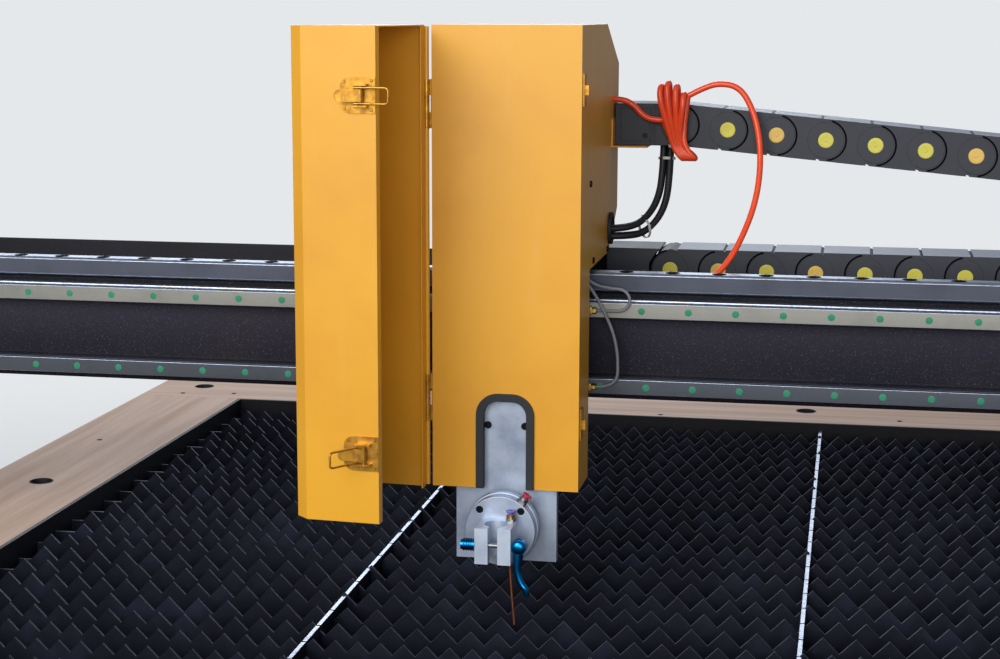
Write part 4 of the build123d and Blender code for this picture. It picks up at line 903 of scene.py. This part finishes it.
def joint_details(bm, joints, first_cap):
    """Boss, groove and cap on both sides of each joint; the groove is a flat black arc on one side of the
    boss, a painted shadow.
    """
    for number, (x, z, heading) in enumerate(joints):
        for y, side in zip(CHAIN_SIDES, (-1, 1)):
            face = (x, y, z)
            axis = (0, side, 0)
            turned(bm, [(0.0105, 0.0007), (0.0240, 0.0007), (0.0250, -0.0004)], face, axis, 36, 0)
            # Painted shadow: a flat black arc on one side of the boss, where the groove lies in shade
            groove = []
            for radius, steps in zip(GROOVE_RADII, (range(-8, 9), range(8, -9, -1))):
                for step in steps:
                    angle = math.radians(10 * step) - heading
                    groove.append((x + radius * math.cos(angle), y + side * 0.0006,
                                   z + radius * math.sin(angle)))
            plate(bm, groove, (0, side * 0.0003, 0), 1)
            turned(bm, [(0, 0.0012), (0.0022, 0.0010), (0.0026, 0.0006), (0.0080, 0.0010), (0.0098, 0.0008),
                        (0.0106, 0.0002)], face, axis, 24,
                   CAP_ORDER[(first_cap + number) % len(CAP_ORDER)])


def link_covers(bm, joints):
    """Side plates and a top bar that close each link, with a small notch before the next joint; the top
    bar's pale colour is a painted highlight.
    """
    for x, z, heading in joints:
        ahead = Vector((math.cos(heading), 0, -math.sin(heading)))
        upward = Vector((math.sin(heading), 0, math.cos(heading)))
        if upward.z < 0:
            upward.negate()
        joint = Vector((x, 0, z))

        def sheet_between(low, high, y, depth, material=0):
            rear, front = LINK_REACH
            corners = ((rear, low), (front, low), (front, high), (rear, high))
            outline = [joint + ahead * along + upward * up + Vector((0, y, 0)) for along, up in corners]
            plate(bm, outline, (0, depth, 0), material)

        for y in (0.6627, 0.7423):
            sheet_between(-LINK_HALF, LINK_HALF, y, 0.0010)
        # Top bar in the pale colour, a painted highlight
        sheet_between(0.0270, 0.0288, 0.6632, 0.0796, 4)


upper_joints, bend_start = follow(CHAIN_START, UPPER_HEADINGS)
bend_joints, tray_start = follow(bend_start, BEND_HEADINGS)
lower_joints, fixed_joint = follow(tray_start, LOWER_HEADINGS)
chain_materials = (finishes["chain_plastic"], painted_shade_black, cap_yellow, cap_amber, chain_top_highlight)


def chain_details(name, body, joints, first_cap, links=()):
    """Joint details, and covers of some links, of one stretch of the chain."""
    bm = bmesh.new()
    joint_details(bm, joints, first_cap)
    link_covers(bm, links)
    return shade(piece(name, bm, body, "chain_plastic", *chain_materials))


upper_run = eased_copy("chain_upper_run", 0.0009, rides=False)
upper_details = chain_details("chain_upper_joints", None, upper_joints[1:], 0, upper_joints)
for made in (upper_run, upper_details):
    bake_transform(made)
lower_run = eased_copy("chain_lower_run", 0.0009, rides=False)
lower_details = chain_details("chain_lower_joints", None, lower_joints[1:] + [(*fixed_joint, math.pi)], 1,
                              lower_joints)
for made in (lower_run, lower_details):
    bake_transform(made)
eased_copy("chain_bend", 0.0009)
chain_details("chain_bend_joints", "chain_bend", bend_joints + [(*tray_start, math.pi)], 0)
chain_details("chain_end_joint", "carriage", upper_joints[:1], 1)

END_POCKET = ((0.0335, 1.3865), (0.0760, 1.4325))
bm = bmesh.new()
(left, bottom), (right, top) = END_POCKET
for low, high in (((left, bottom), (right, bottom + 0.0016)), ((left, top - 0.0016), (right, top)),
                  ((left, bottom), (left + 0.0016, top)), ((right - 0.0016, bottom), (right, top)),
                  ((0.0792, 1.3835), (0.0808, 1.4355))):
    block(bm, (low[0], 0.6618, low[1]), (high[0], 0.6631, high[1]), 0.0003)
shade(piece("chain_end_frame", bm, "carriage", "chain_plastic"))
bm = bmesh.new()
socket_screw(bm, (0.0675, 0.6630, 1.3945), (0, -1, 0), 0.0034, 0.0016)
shade(piece("chain_end_screw", bm, "carriage", "rack_steel", black_screw))

# Cover: rolled edge along the hinge line
bm = bmesh.new()
turned(bm, [(0, 0), (0.0026, 0), (0.0031, 0.0005), (0.0031, 0.5725), (0.0026, 0.5730), (0, 0.5730)],
       (HINGE_PIN.x, HINGE_PIN.y, 0.970), (0, 0, 1), 20)
shade(piece("cover_rolled_edge", bm, "cover", "cover_paint"))

# Head: screws on the housing, the lifter plate and the disc, and rivets on the latches
PLATE_SCREW_HEIGHT = 1.0475
HOUSING_SCREWS = ((0.440, 1.347), (0.609, 1.244), (0.471, 1.246))
bm = bmesh.new()
for y, z in HOUSING_SCREWS:
    socket_screw(bm, (HEAD_RIGHT, y, z), (1, 0, 0), 0.0042, 0.0022)
    socket_screw(bm, (HEAD_LEFT, y, z), (-1, 0, 0), 0.0042, 0.0022)
shade(piece("housing_screws", bm, "carriage", "rack_steel", black_screw))

bm = bmesh.new()
for side in (-1, 1):
    socket_screw(bm, (HEAD_X + side * 0.0235, 0.3681, PLATE_SCREW_HEIGHT), (0, -1, 0), 0.0046, 0.0026)
shade(piece("lifter_plate_screws", bm, "lifter", "rack_steel", black_screw))

DISC_FACE = 0.325
DISC_MIDDLE = (HEAD_X, 0.922)
DISC_SCREW_REACH = 0.037
bm = bmesh.new()
for corner in range(4):
    angle = math.radians(45 + 90 * corner)
    x = DISC_MIDDLE[0] + DISC_SCREW_REACH * math.cos(angle)
    z = DISC_MIDDLE[1] + DISC_SCREW_REACH * math.sin(angle)
    socket_screw(bm, (x, DISC_FACE + 0.006, z), (0, -1, 0), 0.0042, 0.0045)
shade(piece("disc_screws", bm, "lifter", "rack_steel", black_screw))


def on_cover(u, v, z):
    """A place measured from the hinge pin with the cover shut, moved to where the cover stands."""
    turn = Matrix.Rotation(COVER_ANGLE, 3, "Z")
    return HINGE_PIN + turn @ Vector((u, v, 0)) + Vector((0, 0, z))


bm = bmesh.new()
cover_out = on_cover(1, 0, 0) - on_cover(0, 0, 0)
for z in (LATCH_LOWER, LATCH_UPPER):
    for v, lift in ((-0.038, 0.015), (-0.038, -0.015), (-0.0055, 0.0165), (-0.0055, -0.0165)):
        turned(bm, [(0, 0.0010), (0.0011, 0.0009), (0.0019, 0.0002), (0.0020, 0)],
               on_cover(0.1945, v, z + lift), cover_out, 12)
shade(piece("latch_rivets", bm, "cover", "fitting_zinc"))

# Clamp: screw with a blue cap nut, blue cam with its curved lever, and the two small fittings
CLAMP_LEFT = -0.0915
CLAMP_TOP = 0.938
CLAMP_SCREW = (0.2805, 0.916)
CAM_X = -0.0367
CAM_HEAD_FOOT = 0.9080
bm = bmesh.new()
for ring in range(4):
    turned(bm, [(0.0074, 0), (0.0079, 0.0004), (0.0079, 0.0014), (0.0074, 0.0018)],
           (CLAMP_LEFT - 0.0040 - 0.0030 * ring, *CLAMP_SCREW), (-1, 0, 0), 32)
shade(piece("clamp_cap_rings", bm, "lifter", "cam_plastic"))

bm = merged_mesh("cam_lever")
bmesh.ops.bisect_plane(bm, geom=bm.verts[:] + bm.edges[:] + bm.faces[:], plane_co=(0, 0, CAM_HEAD_FOOT),
                       plane_no=(0, 0, 1), clear_inner=True)
ease_edges(bm, 0.0008, 2, 0.5)
cam_head = shade(piece("cam_head", bm, "cam_lever", "cam_plastic"))
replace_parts(cam_head, "cam_lever")
bm = bmesh.new()
turned(bm, [(0, 0.0030), (0.0040, 0.0027), (0.0068, 0.0018), (0.0080, 0.0006), (0.0082, 0)],
       (CAM_X, 0.2745, CLAMP_SCREW[1]), (0, -1, 0), 28)
turned(bm, [(0, 0.0012), (0.0060, 0.0010), (0.0080, 0)], (CAM_X, 0.2865, CLAMP_SCREW[1]), (0, 1, 0), 28)
shade(piece("cam_pin_caps", bm, "cam_lever", "cam_plastic"))


def tapered_bar(name, points, body, slot):
    """Smooth bar through control points that each give a radius as well."""
    return round_curve(name, points, 1.0, 6, 12, body, slot)


BAIL_HALF = 0.009


def bail(node, tip, height):
    """Wire loop of a latch: two legs from the pivot and a rounded end."""
    rear, front = Vector((*LATCH_PIVOT, 0)), Vector((*tip, 0))
    near = rear.lerp(front, 0.78)
    spots = [(rear, -1), (near, -1), (front, -1), (front, 0), (front, 1), (near, 1), (rear, 1)]
    points = [(spot.x, spot.y, height + side * BAIL_HALF, 0.0013) for spot, side in spots]
    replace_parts(tapered_bar(f"{node}_wire", points, node_body[node], "fitting_zinc"), node)


bail("latch_bail_upper", (-0.1657, 0.1538), LATCH_UPPER)
bail("latch_bail_lower", (-0.2295, 0.1227), LATCH_LOWER)
# X from the cam's middle, Y, Z and radius along the lever
CAM_LEVER = (
    (-0.0005, 0.2800, 0.9110, 0.0068), (-0.0020, 0.2790, 0.8990, 0.0062), (-0.0020, 0.2775, 0.8850, 0.0046),
    (0.0030, 0.2765, 0.8700, 0.0042), (0.0100, 0.2760, 0.8640, 0.0042), (0.0105, 0.2760, 0.8555, 0.0030),
)
tapered_bar("cam_lever_bar", [(CAM_X + x, y, z, radius) for x, y, z, radius in CAM_LEVER], "cam_lever",
            "cam_plastic")
COPPER_WIRE = ((-0.0500, 0.8935), (-0.0490, 0.8750), (-0.0465, 0.8400), (-0.0440, 0.8140))
copper = tapered_bar("copper_wire_bar", [(x, 0.2900, z, 0.0016) for x, z in COPPER_WIRE], "lifter",
                     "wire_copper")
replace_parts(copper, "copper_wire")


def push_fitting(bm, place, axis):
    """Plated hexagon, collar and coloured release ring."""
    turned(bm, [(0, 0.0040), (0.0060, 0.0040), (0.0066, 0.0034), (0.0066, 0)], place, axis, 6, 1)
    turned(bm, [(0.0052, 0.0040), (0.0058, 0.0046), (0.0058, 0.0084), (0.0052, 0.0090), (0.0035, 0.0090)],
           place, axis, 24, 0)
    turned(bm, [(0.0034, 0.0088), (0.0034, 0.0110), (0.0058, 0.0118), (0.0062, 0.0126), (0.0058, 0.0134),
                (0.0030, 0.0134), (0.0028, 0.0090), (0, 0.0090)], place, axis, 28, 2)


STUB_TILT = math.radians(54)
STUB_REACH = 0.0438
STUB_AXIS = (math.cos(STUB_TILT), 0, math.sin(STUB_TILT))
STUB_FOOT = (DISC_MIDDLE[0] + STUB_REACH * STUB_AXIS[0], 0.3325, DISC_MIDDLE[1] + STUB_REACH * STUB_AXIS[2])
for name, place, axis, collar, ring in (
        ("disc_fitting", STUB_FOOT, STUB_AXIS, bright_screw, red_ring),
        ("clamp_fitting", (-0.0535, 0.316, CLAMP_TOP), (0, 0, 1), finishes["stub_brass"], violet_ring)):
    bm = bmesh.new()
    push_fitting(bm, place, axis)
    made = shade(piece(name, bm, "lifter", "stub_brass", collar, bright_screw, ring), 40)
    if name == "disc_fitting":
        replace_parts(made, "torch_fittings")

# Brass elbows on the rail blocks, where the grease lines end
bm = bmesh.new()
for z in X_RAIL_HEIGHTS:
    block(bm, (0.0150, 0.4590, z - 0.0050), (0.0250, 0.4690, z + 0.0050), 0.0010)
    turned(bm, [(0, 0.0058), (0.0034, 0.0058), (0.0040, 0.0052), (0.0046, 0.0040), (0.0046, 0)],
           (0.0250, 0.4640, z), (1, 0, 0), 6)
shade(piece("grease_elbows", bm, "carriage", "stub_brass"), 40)

def join(tree, *pairs):
    """Link pairs of sockets in a node tree."""
    for source, target in pairs:
        tree.links.new(source, target)


# Floor, backdrop and light
FLOOR_REACH = 28.0
BACKDROP = srgb(229, 232, 235)
ground = Finish("workshop_floor", srgb(206, 210, 210), 0.7)
cloud = ground.noise(0.8, 5.0, 0.6)
tone = ground.mix(cloud.band(0.3, 0.75), srgb(200, 205, 205), srgb(212, 216, 215))
ground.set("Base Color", tone)
away = ground.node("ShaderNodeVectorMath", {"operation": "LENGTH"}, {0: ground.place}, "Value")
seen = ground.node("ShaderNodeLightPath", {}, {}, "Is Camera Ray")
faded = ground.node("ShaderNodeEmission", {}, {"Color": BACKDROP})
blended = ground.tree.nodes.new("ShaderNodeMixShader")
join(ground.tree,
     ((away.band(1.2, 6.5) * seen).socket, blended.inputs[0]),
     (ground.shader.outputs[0], blended.inputs[1]),
     (faded.socket, blended.inputs[2]),
     (blended.outputs[0], ground.tree.nodes["Material Output"].inputs["Surface"]))
bm = bmesh.new()
bmesh.ops.create_grid(bm, x_segments=1, y_segments=1, size=FLOOR_REACH)
mesh = bpy.data.meshes.new("workshop_floor")
bm.to_mesh(mesh)
bm.free()
mesh.materials.append(ground.material)
floor = placed("workshop_floor", mesh)

world = bpy.data.worlds.new("studio")
world.use_nodes = True
tree = world.node_tree
sky = tree.nodes["Background"]
sky.inputs["Color"].default_value = (0.80, 0.87, 1.0, 1.0)
sky.inputs["Strength"].default_value = 0.28
backdrop = tree.nodes.new("ShaderNodeBackground")
backdrop.inputs["Color"].default_value = BACKDROP
path = tree.nodes.new("ShaderNodeLightPath")
chosen = tree.nodes.new("ShaderNodeMixShader")
join(tree,
     (path.outputs["Is Camera Ray"], chosen.inputs["Fac"]),
     (sky.outputs[0], chosen.inputs[1]),
     (backdrop.outputs[0], chosen.inputs[2]),
     (chosen.outputs[0], tree.nodes["World Output"].inputs["Surface"]))
bpy.context.scene.world = world


def soft_light(name, place, target, size, power, colour=(1, 1, 1)):
    """Rectangular lamp that faces a target."""
    lamp = bpy.data.lights.new(name, "AREA")
    lamp.shape = "RECTANGLE"
    lamp.size, lamp.size_y = size
    lamp.energy = power
    lamp.color = colour
    made = placed(name, lamp)
    made.location = place
    made.rotation_euler = (Vector(target) - Vector(place)).to_track_quat("-Z", "Y").to_euler()


soft_light("key_light", (-1.9, -4.6, 3.7), (0, 0.4, 1.1), (4.0, 3.0), 258)
soft_light("door_light", (-1.35, -3.5, 1.55), (-0.25, 0.17, 1.45), (0.9, 1.3), 9)
soft_light("fill_light", (0.9, -4.4, 1.9), (0, 0.4, 1.1), (2.0, 1.6), 62)
soft_light("window_light", (-1.2, 4.6, 3.2), (0, 0.6, 1.0), (3.6, 1.6), 80, (0.86, 0.92, 1.0))
bpy.context.scene.view_settings.view_transform = "Standard"
